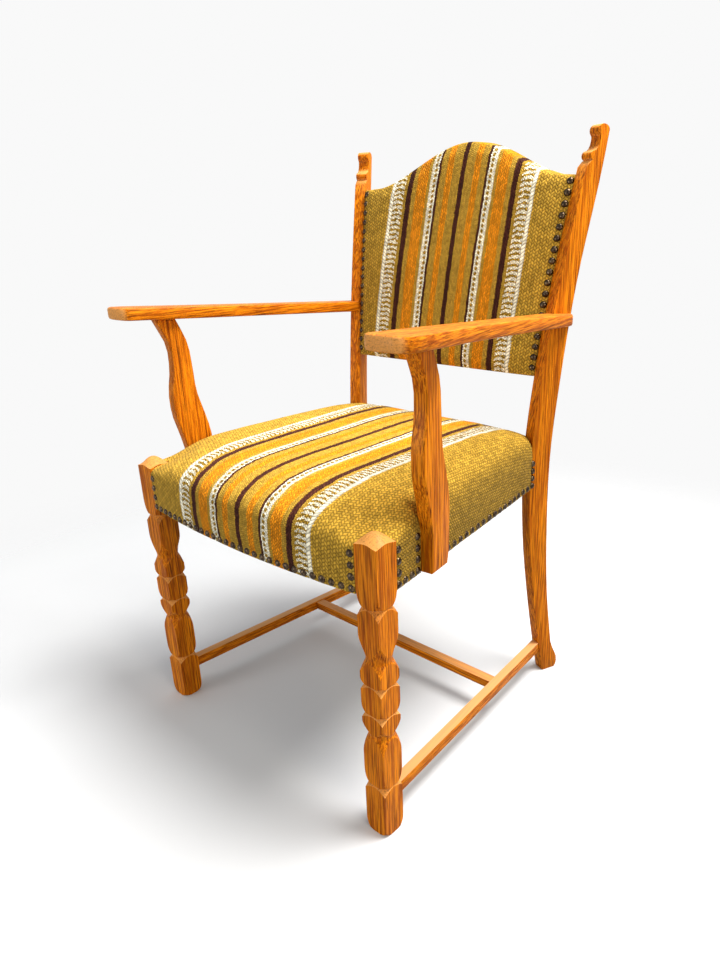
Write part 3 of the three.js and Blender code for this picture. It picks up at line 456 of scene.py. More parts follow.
def stitch_group(name):
    """Columns of slanted stitches, each column leaning against the next; U and V in millimetres."""
    tree, given, out = group(name, {"U": 0.0, "V": 0.0, "Width": 3.2, "Pitch": 4.5, "Slant": 0.7},
                             ("Height", "Shade"))
    column = given["U"] / given["Width"]
    number = column.worked("FLOOR")
    across = column.fraction() - 0.5
    lean = abs(number).worked("MODULO", 2.0).scaled(2.0, -1.0)
    along = given["V"] / given["Pitch"] + lean.scaled(0.25, across * lean * given["Slant"])
    down = along.fraction() - 0.5
    swell = (across * across * -2.7 + 1.0) * (down * down * -3.7 + 1.0)
    feed(tree, out["Height"], swell.at_least(0.0).worked("POWER", 0.9))
    seed = read(tree, "CombineXYZ", {0: number, 1: along.worked("FLOOR")})
    feed(tree, out["Shade"], read(tree, "TexWhiteNoise", {"Vector": seed}))
    return tree


# Half of the cloth's stripes outward from its middle: width in millimetres, yarn, weave, and the width, pitch
# and slant of its stitches
STRIPES = [
    (4.4, "brown", "rope", 4.4, 6.0, 0.9), (16.1, "olive", "fine", 3.2, 3.0, 0.3),
    (13.0, "orange", "braid", 4.33, 5.2, 0.8), (13.0, "olive", "fine", 3.25, 3.0, 0.3),
    (4.3, "brown", "rope", 4.3, 6.0, 0.9), (14.2, "cream", "chain", 3.5, 4.25, 0.5),
    (6.5, "olive", "fine", 3.25, 3.0, 0.3), (21.0, "orange", "braid", 4.2, 5.2, 0.8),
    (9.8, "olive", "fine", 3.27, 3.0, 0.3), (10.5, "brown", "rope", 5.25, 6.0, 0.9),
    (6.2, "olive", "fine", 3.1, 3.0, 0.3), (23.0, "cream", "ladder", 3.8, 4.25, 0.4),
    (7.5, "cream", "rope", 7.5, 6.0, 0.9), (200.0, "olive", "field", 5.2, 5.6, 0.55),
]
# Painted shade: tone of each yarn on faces that don't look up; faces that look up are painted lighter
YARN_PAINTED_SHADES = {"olive": 0.68, "orange": 0.76, "brown": 0.6, "cream": 0.97}
STRIPE_SPAN = 400.0
LADDER_AT = 0.134  # from the cloth's middle to its ladder stripes
LOOP_PITCH = 8.5  # of the chain's eyes and the ladder's rungs
UNEVEN = 3.2  # how far the yarns wander


def stripe_stops(value_of):
    """Ramp stops for each stripe, by a value worked out from where it starts and how it is made."""
    stops = []
    start = 0.0
    for stripe in STRIPES:
        stops.append((start / STRIPE_SPAN, value_of(start, *stripe[1:])))
        start += stripe[0]
    return stops


def stripe_start(weave):
    """Where the first stripe of that weave starts and how wide it is, in millimetres from the middle."""
    before = [stripe[2] for stripe in STRIPES].index(weave)
    return sum(stripe[0] for stripe in STRIPES[:before]), STRIPES[before][0]


def cloth_material(name, painted_top_light=1.0):
    """Wool upholstery cloth, striped by its own woven coordinates, with painted light where it faces up and
    painted shade where it faces left or right.
    """
    cloth = bpy.context.scene.chair_cloth
    yarns = {yarn: (*getattr(cloth, yarn), 1) for yarn in YARN_PAINTED_SHADES}
    material, tree, shader = new_material(name, Sheen_Weight=0.03, Sheen_Roughness=0.5,
                                          Specular_IOR_Level=0.06)
    woven = read(tree, "Attribute", output="Vector", attribute_name="cloth", attribute_type="GEOMETRY")
    in_mm = read(tree, "VectorMath", {0: woven, "Scale": MILLIMETRES}, operation="SCALE")
    across, down, _ = in_mm.axes()
    jitter = in_mm.noise(0.2, 2.0, output="Color").axes()
    u = across + in_mm.noise(0.05, 1.0).scaled(3.0, -1.5) + jitter[0].scaled(UNEVEN, -UNEVEN / 2)
    v = down + jitter[1].scaled(UNEVEN, -UNEVEN / 2)
    from_middle = abs(u)
    share = (from_middle + v.worked("PINGPONG", 2.1).scaled(0.55, -0.6)) / STRIPE_SPAN
    plain_share = from_middle / STRIPE_SPAN

    def woven_as(kind):
        return share.ramp(stripe_stops(lambda start, yarn, weave, *rest: float(weave == kind)), "CONSTANT")

    def of_stripe(pick, scale):
        return plain_share.ramp(stripe_stops(lambda *stripe: stripe[pick] / scale), "CONSTANT") * scale

    # Chain stripe: olive eyes in the cream
    start, width = stripe_start("chain")
    loops = v / LOOP_PITCH
    eye_down = (loops.fraction() - 0.5) / 0.36
    eye_across = (from_middle - (start + 0.45 * width)) / 3.0
    eye = eye_down * eye_down + eye_across * eye_across < 1.0

    # Ladder stripe: olive gaps between cream rungs, with plain tails on its inner side
    start, width = stripe_start("ladder")
    inward = (start + 0.38 * width - from_middle).at_least(0.0)
    rungs = loops + inward * 0.06 + jitter[2] * 0.9
    rung_at = abs(rungs.fraction() - 0.5)
    gap = rung_at + from_middle.worked("PINGPONG", 1.5) * 0.055 < jitter[0].scaled(0.6, -0.02)
    tail = inward > 3.2
    gap = gap * (1.0 - tail) + (1.0 - (rung_at > 0.27)) * tail

    holes = eye * woven_as("chain") + gap * woven_as("ladder")
    striped = share.ramp(stripe_stops(lambda start, yarn, *rest: yarns[yarn]), "CONSTANT")
    colour = holes.mix(striped, yarns["olive"])
    stitches = use_group(tree, "Slanted stitches", stitch_group, {
        "U": from_middle - of_stripe(0, STRIPE_SPAN), "V": v, "Width": of_stripe(3, 10.0),
        "Pitch": of_stripe(4, 10.0), "Slant": of_stripe(5, 1.0)})
    height = stitches["Height"] - holes * 0.35
    fuzz = in_mm.noise(1.6, 3.0, 0.7)
    normal = read(tree, "TexCoord", output="Normal").axes()
    # Painted light and shade: faces that look up are lightened by the share given, faces that look left or
    # right are darkened
    deep = share.ramp(stripe_stops(lambda start, yarn, *rest: YARN_PAINTED_SHADES[yarn]), "CONSTANT")
    painted_top_mask = normal[2].ramp([(0.25, 0.0), (0.85, painted_top_light)])
    # Painted shade: the cloth is darkened where it lies low, between its yarns and in the chain's eyes and
    # the ladder's gaps
    tone = height.scaled(cloth.relief_shade, 1.0 - cloth.relief_shade) * stitches["Shade"].scaled(0.6, 0.85)
    tone = tone * fuzz.scaled(0.7, 0.72) * in_mm.noise(0.03, 2.0).scaled(0.2, 0.9)
    tone = tone * abs(normal[0]).ramp([(0.15, 1.0), (0.9, 0.66)]) * painted_top_mask.scaled(1.0 - deep, deep)
    finish_with(tree, shader, tone.darken(colour), fuzz.scaled(0.15, 0.82), fuzz.scaled(0.3, height), 0.8,
                cloth.relief)
    return material


def plain_cloth(name, colour, pitch, rough=0.9, relief=0.0004):
    """A plain woven cloth such as webbing, lining or wadding, from the object's own coordinates."""
    material, tree, shader = new_material(name, Sheen_Weight=0.2, Sheen_Roughness=0.5, Specular_IOR_Level=0.2)
    where = read(tree, "TexCoord", output="Object")
    x, y, z = read(tree, "VectorMath", {0: where, "Scale": MILLIMETRES}, operation="SCALE").axes()
    over = use_group(tree, "Slanted stitches", stitch_group, {
        "U": x, "V": y + z, "Width": pitch, "Pitch": pitch, "Slant": 0.0})["Height"]
    fuzz = where.noise(900.0, 3.0)
    # Painted shade between the stitches: the cloth is darker where it lies low
    tone = over.scaled(0.35, 0.65) * fuzz.scaled(0.5, 0.75)
    finish_with(tree, shader, tone.darken(colour), fuzz.scaled(0.1, rough - 0.05), over, 0.6, relief)
    return material


def metal_material(name, colour, rough, wear_and_painted_sheen):
    """Aged metal: a base tone with brighter patches of wear and a slightly uneven surface."""
    material, tree, shader = new_material(name, Metallic=1.0)
    where = read(tree, "TexCoord", output="Object")
    patches = where.noise(260.0, 3.0)
    finish_with(tree, shader, patches.ramp([(0.45, 0.0), (0.7, 1.0)]).mix(colour, wear_and_painted_sheen),
                patches.scaled(0.3, rough - 0.15), where.noise(700.0, 1.0), 0.35, 0.0006)
    return material


# Settings

def colour_setting(name, description, red, green, blue):
    """A colour that a user can change, from screen values of 0 to 255."""
    return FloatVectorProperty(name=name, description=description, subtype="COLOR",
                               default=linear(red, green, blue)[:3])


def length_setting(name, description, default):
    """A size that a user can change, in metres."""
    return FloatProperty(name=name, description=description, unit="LENGTH", default=default)


class ChairWood(bpy.types.PropertyGroup):
    early: colour_setting("Early wood", "Light part of the oak's year rings", 243, 146, 22)
    late: colour_setting("Late wood", "Dark part of the oak's year rings", 168, 80, 7)
    pore: colour_setting("Pores", "Dark pores of the oak", 70, 27, 3)
    # Painted reflection: the pale colour that upward oak faces are mixed towards, for the light above
    # reflected off them
    painted_top_sheen: colour_setting("Rubbed", "Bare oak where shoes have worn the lacquer off", 220, 168, 112)
    ring_width: length_setting("Ring width", "Distance between two year rings", 0.0034)
    roughness: FloatProperty(name="Roughness", description="Roughness of the lacquered oak", default=0.36)
    arris: length_setting("Arris", "Width of the eased edges", 0.0011)


class ChairCloth(bpy.types.PropertyGroup):
    olive: colour_setting("Olive", "Ground yarn", 220, 174, 64)
    orange: colour_setting("Orange", "Orange yarn", 255, 160, 28)
    brown: colour_setting("Brown", "Dark brown yarn", 88, 46, 34)
    cream: colour_setting("Cream", "Cream yarn", 255, 248, 222)
    thickness: length_setting("Thickness", "Thickness of the cloth", 0.0024)
    push: FloatProperty(name="Push", description="Pressure of the stuffing under the cloth", default=4.0)
    swell: length_setting("Swell", "Most that the stuffing may push the cloth out", 0.0016)
    stiffness: FloatProperty(name="Stiffness", description="How strongly the cloth resists stretching",
                             default=40.0)
    relief: length_setting("Relief", "Height of the yarns", 0.0012)
    # Painted shade between the yarns
    relief_shade: FloatProperty(name="Relief shade", description="How dark the cloth is between its yarns",
                                subtype="FACTOR", default=0.78)
    seat_middle: length_setting("Seat middle", "How far right the stripes' middle lies on the seat", 0.018)
    back_middle: length_setting("Back middle", "How far right the stripes' middle lies on the back", 0.008)
    back_lean: FloatProperty(name="Back lean", default=0.028,
                             description="How far the back's stripes lean right for each metre up")
    back_drawn: length_setting("Back drawn", "How much farther left the back's outer stripes lie", 0.0045)
    seat_drawn: length_setting("Seat drawn", "How much farther left the seat's right stripes lie", 0.006)


class ChairNails(bpy.types.PropertyGroup):
    radius: length_setting("Radius", "Radius of a nail's head", 0.0055)
    rise: length_setting("Rise", "Height of a nail's head", 0.0038)
    pitch: length_setting("Pitch", "Distance between two nails", 0.0162)
    dimple: length_setting("Dimple", "How far a nail draws the cloth in", 0.0012)
    segments: IntProperty(name="Segments", description="Facets round a nail's head", default=16)


class ChairStudio(bpy.types.PropertyGroup):
    floor: FloatVectorProperty(name="Floor", description="Colour of the floor", subtype="COLOR",
                               default=(0.71, 0.73, 0.755))
    key: FloatProperty(name="Key lamp", description="Power of the lamp above", unit="POWER", default=105.0)
    sky: FloatProperty(name="Sky", description="Strength of the light all round", default=0.6)


# Front legs

# Tip, rounding and neck as shares of the shoulder's height, and the shapes above and below each block
LEG_TURNINGS = [
    (1.0, 0.873, 0.806, "none", "round"), (0.778, 0.722, 0.631, "cone", "ogee"),
    (0.591, 0.571, 0.549, "cone", "round"), (0.529, 0.484, 0.446, "cone", "round"),
    (0.429, 0.418, 0.367, "cone", "ogee"), (0.301, 0.24, 0.182, "swell", "round"),
    (0.161, 0.05, 0.0, "cone", "foot"),
]
LEG_SHOULDER = 0.450
LEG_GROOVE = 0.0177  # radius at the necks
LEG_FOOT = 0.0195
LEG_WELD = 0.00001
DOME_SHARES = (1.0, 0.86, 0.72, 0.58, 0.45, 0.33, 0.22, 0.11)
DOME_POWER = 1.1
LEG_EASE = {
    "round": lambda t: math.sqrt(max(1 - t * t, 0)),
    "ogee": lambda t: (1 + math.cos(math.pi * t)) / 2,
    "swell": lambda t: math.sin(math.pi / 2 * t),
    "cone": lambda t: t,
}


def leg_profile():
    """(radius, height) of the turning from the shoulder down to the floor, as if it had no flats."""
    points = []
    neck_height = LEG_SHOULDER
    for tip, rounding, neck, above, below in LEG_TURNINGS:
        top, start, low = (LEG_SHOULDER * share for share in (tip, rounding, neck))
        if above == "none":
            points.append((LEG_CORNER, top))
        else:
            steps = 16 if above == "swell" else 8
            for step in range(1, steps + 1):
                t = step / steps
                points.append((mix(LEG_GROOVE, LEG_CORNER, LEG_EASE[above](t)), mix(neck_height, top, t)))
        points.append((LEG_CORNER, start))
        foot = LEG_FOOT if below == "foot" else LEG_GROOVE
        for step in range(1, 15):
            t = step / 14
            shape = LEG_EASE["round" if below == "foot" else below](t)
            points.append((mix(foot, LEG_CORNER, shape), mix(start, low, t)))
        neck_height = low
    return points


def leg_ring(radius):
    """Outline of square stock turned down to a radius: flats between rounded corners, as (x, y) points."""
    half = LEG_SIDE / 2
    flat_steps, corner_steps = 8, 6
    turn = math.acos(half / radius) if radius > half else 0.0
    reach = min(radius, half)
    points = []
    for quarter in range(4):
        facing = quarter * math.pi / 2
        c, s = math.cos(facing), math.sin(facing)
        for step in range(flat_steps):
            across = reach * math.tan(turn) * (2 * step / flat_steps - 1)
            points.append((reach * c - across * s, reach * s + across * c))
        for step in range(corner_steps):
            angle = facing + mix(turn, math.pi / 2 - turn, step / corner_steps)
            points.append((radius * math.cos(angle), radius * math.sin(angle)))
    return points


def leg_dome(x, y):
    """Height of the turned dome over a place on the leg's top."""
    share = math.hypot(x, y) / LEG_CORNER
    rise = (1 + math.cos(math.pi * min(share, 1) ** DOME_POWER)) / 2
    return mix(LEG_SHOULDER, LEG_HIGH.z, rise)


def leg_mesh(side):
    """The turned leg, its square blocks and its domed top."""
    bm = bmesh.new()
    rows = []
    whole = leg_ring(LEG_CORNER)
    outlines = [[(x * share, y * share, leg_dome(x * share, y * share)) for x, y in whole]
                for share in reversed(DOME_SHARES)]
    outlines += [[(x, y, height) for x, y in leg_ring(radius)] for radius, height in leg_profile()]
    for outline in outlines:
        row = [bm.verts.new((side * (LEG_AXIS.x + x), LEG_AXIS.y + y, z)) for x, y, z in outline]
        rows.append(row + row[:1])
    grid_faces(bm, rows)
    bm.faces.new(rows[0][:-1])
    bm.faces.new(rows[-1][:-1])
    weld(bm, LEG_WELD)
    shade(bm, 35)
    for edge in bm.edges:
        flat = [max(abs(face.normal.x), abs(face.normal.y)) > 0.9998 for face in edge.link_faces]
        if any(flat) and not all(flat):
            edge.smooth = False
    return bm


class CHAIR_OT_legs(bpy.types.Operator):
    """Two front legs, turned between square blocks with domed tops"""
    bl_idname = "captains_chair.legs"
    bl_label = "Front legs"

    def execute(self, context):
        for side, name in ((1, "right"), (-1, "left")):
            material = oak("oak_leg_" + name, "z", (0.01 * side, 0.02, 0.03 * side))
            leg = new_object("turned_leg_" + name, leg_mesh(side), material)
            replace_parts(leg, "front_leg_" + name)
        return {"FINISHED"}


# Posts, arms, arm posts and stretchers

# CAD node, piece, grain and how strongly the upward faces are painted pale, a painted reflection of the light
# above
SIDE_BOARDS = (("back_post", "sawn_post", "z", 0.0), ("arm", "arm_board", "y", 0.1),
               ("arm_post", "wavy_arm_post", "z", 0.0), ("side_stretcher", "side_bar", "y", 0.8))
# Share of painted reflection on the cross bar's upward faces
CROSS_PAINTED_SHEEN = 0.5
FLAT_TURN = math.radians(0.4)  # faces that turn less than this are joined
SHARP_TURN = math.radians(32)  # edges that turn more than this are eased


def eased_copy(node, name, material, arris):
    """The CAD board with its sharp arrises eased by hand sanding."""
    bm = bmesh.new()
    bm.from_mesh(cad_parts[node].data)
    bmesh.ops.remove_doubles(bm, verts=bm.verts, dist=WELD)
    bmesh.ops.dissolve_limit(bm, angle_limit=FLAT_TURN, verts=bm.verts, edges=bm.edges)
    sharp = [e for e in bm.edges if len(e.link_faces) == 2 and e.calc_face_angle(0) > SHARP_TURN]
    bmesh.ops.bevel(bm, geom=sharp, offset=arris, offset_type="OFFSET", segments=2, profile=0.6,
                    affect="EDGES", clamp_overlap=True)
    shade(bm, 40)
    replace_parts(new_object(name, bm, material), node)


class CHAIR_OT_boards(bpy.types.Operator):
    """Back posts, arms, arm posts and stretchers, with eased arrises"""
    bl_idname = "captains_chair.boards"
    bl_label = "Posts, arms and stretchers"

    def execute(self, context):
        arris = context.scene.chair_wood.arris
        for number, side in enumerate(("right", "left")):
            offset = 0.07 * number
            inward = math.atan(TAPER) * (1 - 2 * number)
            for node, name, along, painted_top_sheen in SIDE_BOARDS:
                swing = inward if along == "y" else 0.0
                material = oak(f"oak_{name}_{side}", along, (offset, 0.013 * number, offset), swing, painted_top_sheen)
                eased_copy(f"{node}_{side}", f"{name}_{side}", material, arris)
        cross_oak = oak("oak_cross_bar", "x", (0, 0, 0), 0.0, CROSS_PAINTED_SHEEN)
        eased_copy("cross_stretcher", "cross_bar", cross_oak, arris)
        return {"FINISHED"}


# Seat

CLOTH_STEP = 0.006  # between the points of a cover, away from its edges
SEAT_EDGES = ((SIDE_REACH, 24), (FRONT_REACH, 26), (REAR_REACH, 22))  # reach and steps of each roll
SKIRT_STEPS = 9
SEAT_POWER = 2.0  # how square the seat's rolled edges are
CUT_OUT = 0.4  # how far out from the middle the cuts in the cover may reach
CORNER_CUT_IN = 0.15  # where those for the legs and back posts may start
SLOT_CUT_IN = 0.235  # where the slots for the arm posts may start
SLOT_DEPTH = 0.0305  # of a slot's front edge, from the arm post's front corner
SLOT_BEHIND = 0.0005  # of its rear edge, in front of the arm post's rear corner
SLOT_TOP = 0.449
STUFFING = (0.07, 0.0008)  # distance between the lumps under the cloth, and their height
POST_CUT_DOWN = 0.04  # the posts' corners are taken this far below the seat's top


def rolled_edge(reach, low, straight, high, skirt_steps, roll_steps, power):
    """(inset, rise share) points from a cover's lower edge up its skirt and over its rolled edge."""
    full = high - low
    points = [(0.0, mix(0, straight - low, step / skirt_steps) / full) for step in range(skirt_steps)]
    for step in range(roll_steps + 1):
        inset = reach * (step / roll_steps) ** 2.2
        share = (1 - (1 - inset / reach) ** 4) ** (1 / power)
        points.append((inset, mix(straight - low, full, share) / full))
    return points


def both_edges(first, last, span, spacing):
    """A whole section: (place from 0 to span, rise share) up the first edge, across, and down the last."""
    start = list(first)
    end = [(span - inset, rise) for inset, rise in reversed(last)]
    gap = end[0][0] - start[-1][0]
    count = max(1, math.ceil(gap / spacing))
    middle = [(start[-1][0] + gap * step / count, 1.0) for step in range(1, count)]
    return start + middle + end


def pillow_rise(a, b, power=4):
    """Rise of a cushion where two directions meet: the lower of both, blended."""
    a, b = max(a, 0.002), max(b, 0.002)
    return (a ** -power + b ** -power - 1) ** (-1 / power)


def lay_cloth(bm, rows, flat_axis, middle, lean=0.0, drawn=(0.0, 0.0)):
    """Stores woven coordinates: distance walked over the surface across and along the cloth, with the outer
    stripes drawn over to the left by an amount for the left half and one for the right half."""
    layer = bm.verts.layers.float_vector["cloth"]
    count = len(rows[0])
    centre_row = len(rows) // 2
    centre_column = min(range(count), key=lambda i: abs(rows[centre_row][i].co.x))

    def walk(vertices, start, axes):
        walked = {start: 0.0}
        for direction in (1, -1):
            total = 0.0
            i = start + direction
            while 0 <= i < len(vertices):
                step = vertices[i].co - vertices[i - direction].co
                total += math.sqrt(sum(step[k] ** 2 for k in axes))
                walked[i] = direction * total
                i += direction
        return walked

    for row in rows:
        across = walk(row, centre_column, (0, flat_axis))
        for i, vertex in enumerate(row):
            u = across[i] + row[centre_column].co.x - middle - lean * (vertex.co.z - rows[centre_row][i].co.z)
            vertex[layer].x = u + drawn[u > 0] * (u / LADDER_AT) ** 2
    for i in range(count):
        column = [row[i] for row in rows]
        along = walk(column, centre_row, (1, 2))
        for j, vertex in enumerate(column):
            vertex[layer].y = along[j]


def cloth_mesh():
    """An empty bmesh whose vertices can carry woven coordinates."""
    bm = bmesh.new()
    bm.verts.layers.float_vector.new("cloth")
    return bm


def seat_grid(inset, lift):
    """The seat's surface as a bmesh and its rows: over the front, the sides and the back."""
    low, high = SEAT_LOW.z, SEAT_HIGH.z - lift
    side, front, rear = (
        rolled_edge(reach, low, SKIRT_TOP, high, SKIRT_STEPS, roll_steps, SEAT_POWER)
        for reach, roll_steps in SEAT_EDGES)
    width = SEAT_HIGH.x
    across = both_edges(side, side, 2 * width, CLOTH_STEP)
    depth = SEAT_HIGH.y - SEAT_LOW.y
    along = both_edges(front, rear, depth, CLOTH_STEP)
    bm = cloth_mesh()
    rows = []
    for forward, rise_along in along:
        row = []
        for place_across, rise_across in across:
            share = place_across / width - 1
            nominal = share * width
            nearness = 1 - smooth(forward / (0.5 * depth))
            edge = front_edge(nominal)
            pull = CORNER_PULL * abs(share) ** 6 * smooth((rise_along - 0.5) / 0.4)
            y = mix(SEAT_LOW.y + forward, edge + forward, nearness) + pull * nearness
            y = min(y, SEAT_HIGH.y)
            rise = pillow_rise(rise_across, rise_along)
            x = share * side_edge(y)
            x -= math.copysign(inset * smooth(abs(share) * 4 - 3), share)
            y += inset if forward < 0.5 * depth else -inset
            row.append(bm.verts.new((x, y, sunk(x, y, low + rise * (high - low)))))
        rows.append(row)
    return bm, rows


def seat_cuts(grow=0.0):
    """Planes and limits of the places where legs, posts and arm posts stand in the seat's cover."""
    cuts = []
    for side in (1, -1):
        lane = sorted((side * CORNER_CUT_IN, side * CUT_OUT))
        inner = LEG_LOW.x - ROOM - grow
        rear = LEG_HIGH.y + ROOM + grow
        cuts.append(([((side * inner, 0, 0), (side, 0, 0)), ((0, rear, 0), (0, -1, 0))],
                     ((lane[0], -CUT_OUT, 0), (lane[1], rear + 0.03, 1))))
        corner = post_corner(SEAT_HIGH.z - POST_CUT_DOWN)
        back = (side * math.sin(POST_TURN), math.cos(POST_TURN), 0)
        out = (side * math.cos(POST_TURN), -math.sin(POST_TURN), 0)
        face = Vector((side * corner.x, corner.y, 0))
        cuts.append(([(face - Vector(back) * (ROOM + grow), back), (face - Vector(out) * (ROOM + grow), out)],
                     ((lane[0], 0.1, 0), (lane[1], CUT_OUT, 1))))
    return cuts


def arm_post_cuts():
    """The slots in the cover's skirts where the arm posts are lapped on the rails."""
    cuts = []
    front, rear = ARM_POST_LOW.y + SLOT_DEPTH, ARM_POST_HIGH.y - SLOT_BEHIND
    for side in (1, -1):
        lane = sorted((side * SLOT_CUT_IN, side * CUT_OUT))
        cuts.append(([((0, front, 0), (0, 1, 0)), ((0, rear, 0), (0, -1, 0)), ((0, 0, SLOT_TOP), (0, 0, -1))],
                     ((lane[0], front - 0.02, 0), (lane[1], rear + 0.02, 1))))
    return cuts


NAIL_REACH = 0.0095  # how far round a nail the cloth is drawn in
NAIL_HOLD = 0.004  # how far round it the cloth can't swell
SETTLING_FRAMES = 20
WADDING = (linear(228, 217, 189), 6.0)  # colour, and width of its tufts in millimetres
SEAT_WADDING = 0.012
BACK_WADDING = 0.006


def press_in(bm, nails, depth):
    """Draws the cloth in round each nail, and returns the points that its nails and edges hold."""
    tree = kdtree.KDTree(len(nails))
    for i, (place_at, normal) in enumerate(nails):
        tree.insert(place_at, i)
    tree.balance()
    bm.verts.index_update()
    held = [v.index for v in bm.verts if v.is_boundary or tree.find(v.co)[2] < NAIL_HOLD]
    for vertex in bm.verts:
        for _, index, distance in tree.find_range(vertex.co, NAIL_REACH):
            vertex.co -= nails[index][1] * depth * (1 - (distance / NAIL_REACH) ** 2) ** 2
    return held


def settle(cover, held, cloth):
    """Lets the stuffing push the cloth out between the points that hold it, by a short simulation."""
    cover.vertex_groups.new(name="held").add(held, 1.0, "REPLACE")
    pushed = cover.modifiers.new("Stuffing", "CLOTH")
    pushed.settings.vertex_group_mass = "held"
    pushed.settings.use_pressure = True
    pushed.settings.uniform_pressure_force = cloth.push
    pushed.settings.effector_weights.gravity = 0.0
    pushed.settings.tension_stiffness = pushed.settings.compression_stiffness = cloth.stiffness
    pushed.point_cache.frame_end = SETTLING_FRAMES
    scene = bpy.context.scene
    for step in range(1, SETTLING_FRAMES + 1):
        scene.frame_set(step)
    moved = cover.evaluated_get(bpy.context.evaluated_depsgraph_get()).data.vertices
    places = [(v.co.copy(), v.normal.copy()) for v in cover.data.vertices]
    afters = [v.co.copy() for v in moved]
    for vertex, after, (before, outward) in zip(cover.data.vertices, afters, places):
        vertex.co = before + outward * min(max((after - before).dot(outward), 0.0), cloth.swell)
    cover.modifiers.remove(pushed)
    cover.vertex_groups.clear()
    scene.frame_set(1)


def hand_made(bm, size, amount, outward):
    """Slow unevenness of the stuffing under the cloth."""
    for vertex in bm.verts:
        vertex.co += Vector(outward) * noise.noise(vertex.co / size) * amount


class CHAIR_OT_seat(bpy.types.Operator):
    """The crowned seat: striped wool over wadding, cut round the legs, posts and arm posts"""
    bl_idname = "captains_chair.seat"
    bl_label = "Seat"

    def execute(self, context):
        cloth = context.scene.chair_cloth
        nails = context.scene.chair_nails
        bm, rows = seat_grid(0.0, 0.0)
        lay_cloth(bm, rows, 2, cloth.seat_middle, 0.0, (0.0, cloth.seat_drawn))
        grid_faces(bm, rows)
        bmesh.ops.recalc_face_normals(bm, faces=bm.faces)
        for planes, limits in seat_cuts() + arm_post_cuts():
            cut_away(bm, planes, limits)
        hand_made(bm, *STUFFING, (0, 0, 1))
        held = press_in(bm, seat_nails(nails), nails.dimple)
        shade(bm, 60)
        cover = new_object("striped_seat_cover", bm, cloth_material("striped_wool_seat"))
        settle(cover, held, cloth)
        thicken(cover, cloth.thickness)
        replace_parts(cover, "seat_cover")

        gap = cloth.thickness + ROOM
        bm, rows = seat_grid(gap, gap)
        grid_faces(bm, rows)
        bmesh.ops.recalc_face_normals(bm, faces=bm.faces)
        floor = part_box("seat_padding")[0].z
        for planes, limits in seat_cuts(gap):
            cut_away(bm, planes, limits)
        whole = ((-1, -1, -1), (1, 1, 1))
        cut_away(bm, [((0, 0, floor), (0, 0, -1))], whole)
        shade(bm, 60)
        pad = new_object("seat_wadding", bm, plain_cloth("cotton_wadding_seat", *WADDING))
        thicken(pad, SEAT_WADDING)
        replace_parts(pad, "seat_padding")
        return {"FINISHED"}


# Back

PANEL_SIDES = (5, 16, 3.0)  # steps up the skirt, steps over the roll, and how square it is
PANEL_ENDS = (5, 18, 2.6)
CORNER_WELD = 0.00005
BACK_STUFFING = (0.08, 0.0008)


def panel_grid(inset=0.0, rear=PANEL_THICKNESS):
    """The back's surface as rows of points from its lower rear edge over its front to its upper rear edge."""
    rise = PANEL_THICKNESS + PANEL_CROWN
    straight = PANEL_THICKNESS - PANEL_EDGE
    side = rolled_edge(PANEL_REACH, 0.0, straight, rise, *PANEL_SIDES)
    ends = rolled_edge(PANEL_REACH, 0.0, straight, rise, *PANEL_ENDS)
    across = both_edges(side, side, 2.0 * POST_FOOT[0], CLOTH_STEP)
    tall = SHOULDER - BACK_LOW.z
    along = both_edges(ends, ends, tall, CLOTH_STEP)
    bm = cloth_mesh()
    rows = []
    for height, rise_along in along:
        row = []
        for place_across, rise_across in across:
            share = place_across / POST_FOOT[0] - 1
            lift = pillow_rise(rise_along, rise_across, 5)
            depth = min(PANEL_THICKNESS - lift * rise + inset, rear)
            z = BACK_LOW.z + mix(inset, tall - inset, height / tall)
            half = post_corner(z).x + math.tan(POST_TURN) * max(depth, 0) - ROOM - inset
            x = share * half
            z += (crest(x) - SHOULDER) * smooth((height / tall - 0.3) / 0.7)
            corner = post_corner(z)
            row.append(bm.verts.new((x, corner.y + depth, z)))
        rows.append(row)
    return bm, rows


def join_panel(bm, rows):
    """Faces between the panel's rows, facing the sitter, with the corners' folded points joined."""
    grid_faces(bm, rows)
    weld(bm, CORNER_WELD)
    if min(bm.faces, key=lambda f: f.calc_center_median().y).normal.y > 0:
        bmesh.ops.reverse_faces(bm, faces=bm.faces)


class CHAIR_OT_back(bpy.types.Operator):
    """The crowned back: striped wool wrapped round the back frame"""
    bl_idname = "captains_chair.back"
    bl_label = "Back"

    def execute(self, context):
        cloth = context.scene.chair_cloth
        nails = context.scene.chair_nails
        bm, rows = panel_grid()
        lay_cloth(bm, rows, 1, cloth.back_middle, cloth.back_lean, (cloth.back_drawn, cloth.back_drawn))
        join_panel(bm, rows)
        hand_made(bm, *BACK_STUFFING, (0, -1, 0))
        held = press_in(bm, back_nails(nails), nails.dimple)
        shade(bm, 60)
        # The back gets a fifth of the seat's painted top light
        cover = new_object("striped_back_cover", bm, cloth_material("striped_wool_back", 0.2))
        settle(cover, held, cloth)
        thicken(cover, cloth.thickness)
        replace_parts(cover, "back_cover")

        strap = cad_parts["back_strap_1"].data.vertices
        strap_front = min(v.co.y - post_corner(v.co.z).y for v in strap)
        bm, rows = panel_grid(cloth.thickness + ROOM, strap_front - ROOM)
        join_panel(bm, rows)
        shade(bm, 60)
        pad = new_object("back_wadding", bm, plain_cloth("cotton_wadding_back", *WADDING))
        thicken(pad, BACK_WADDING)
        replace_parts(pad, "back_padding")
        return {"FINISHED"}


# Nails

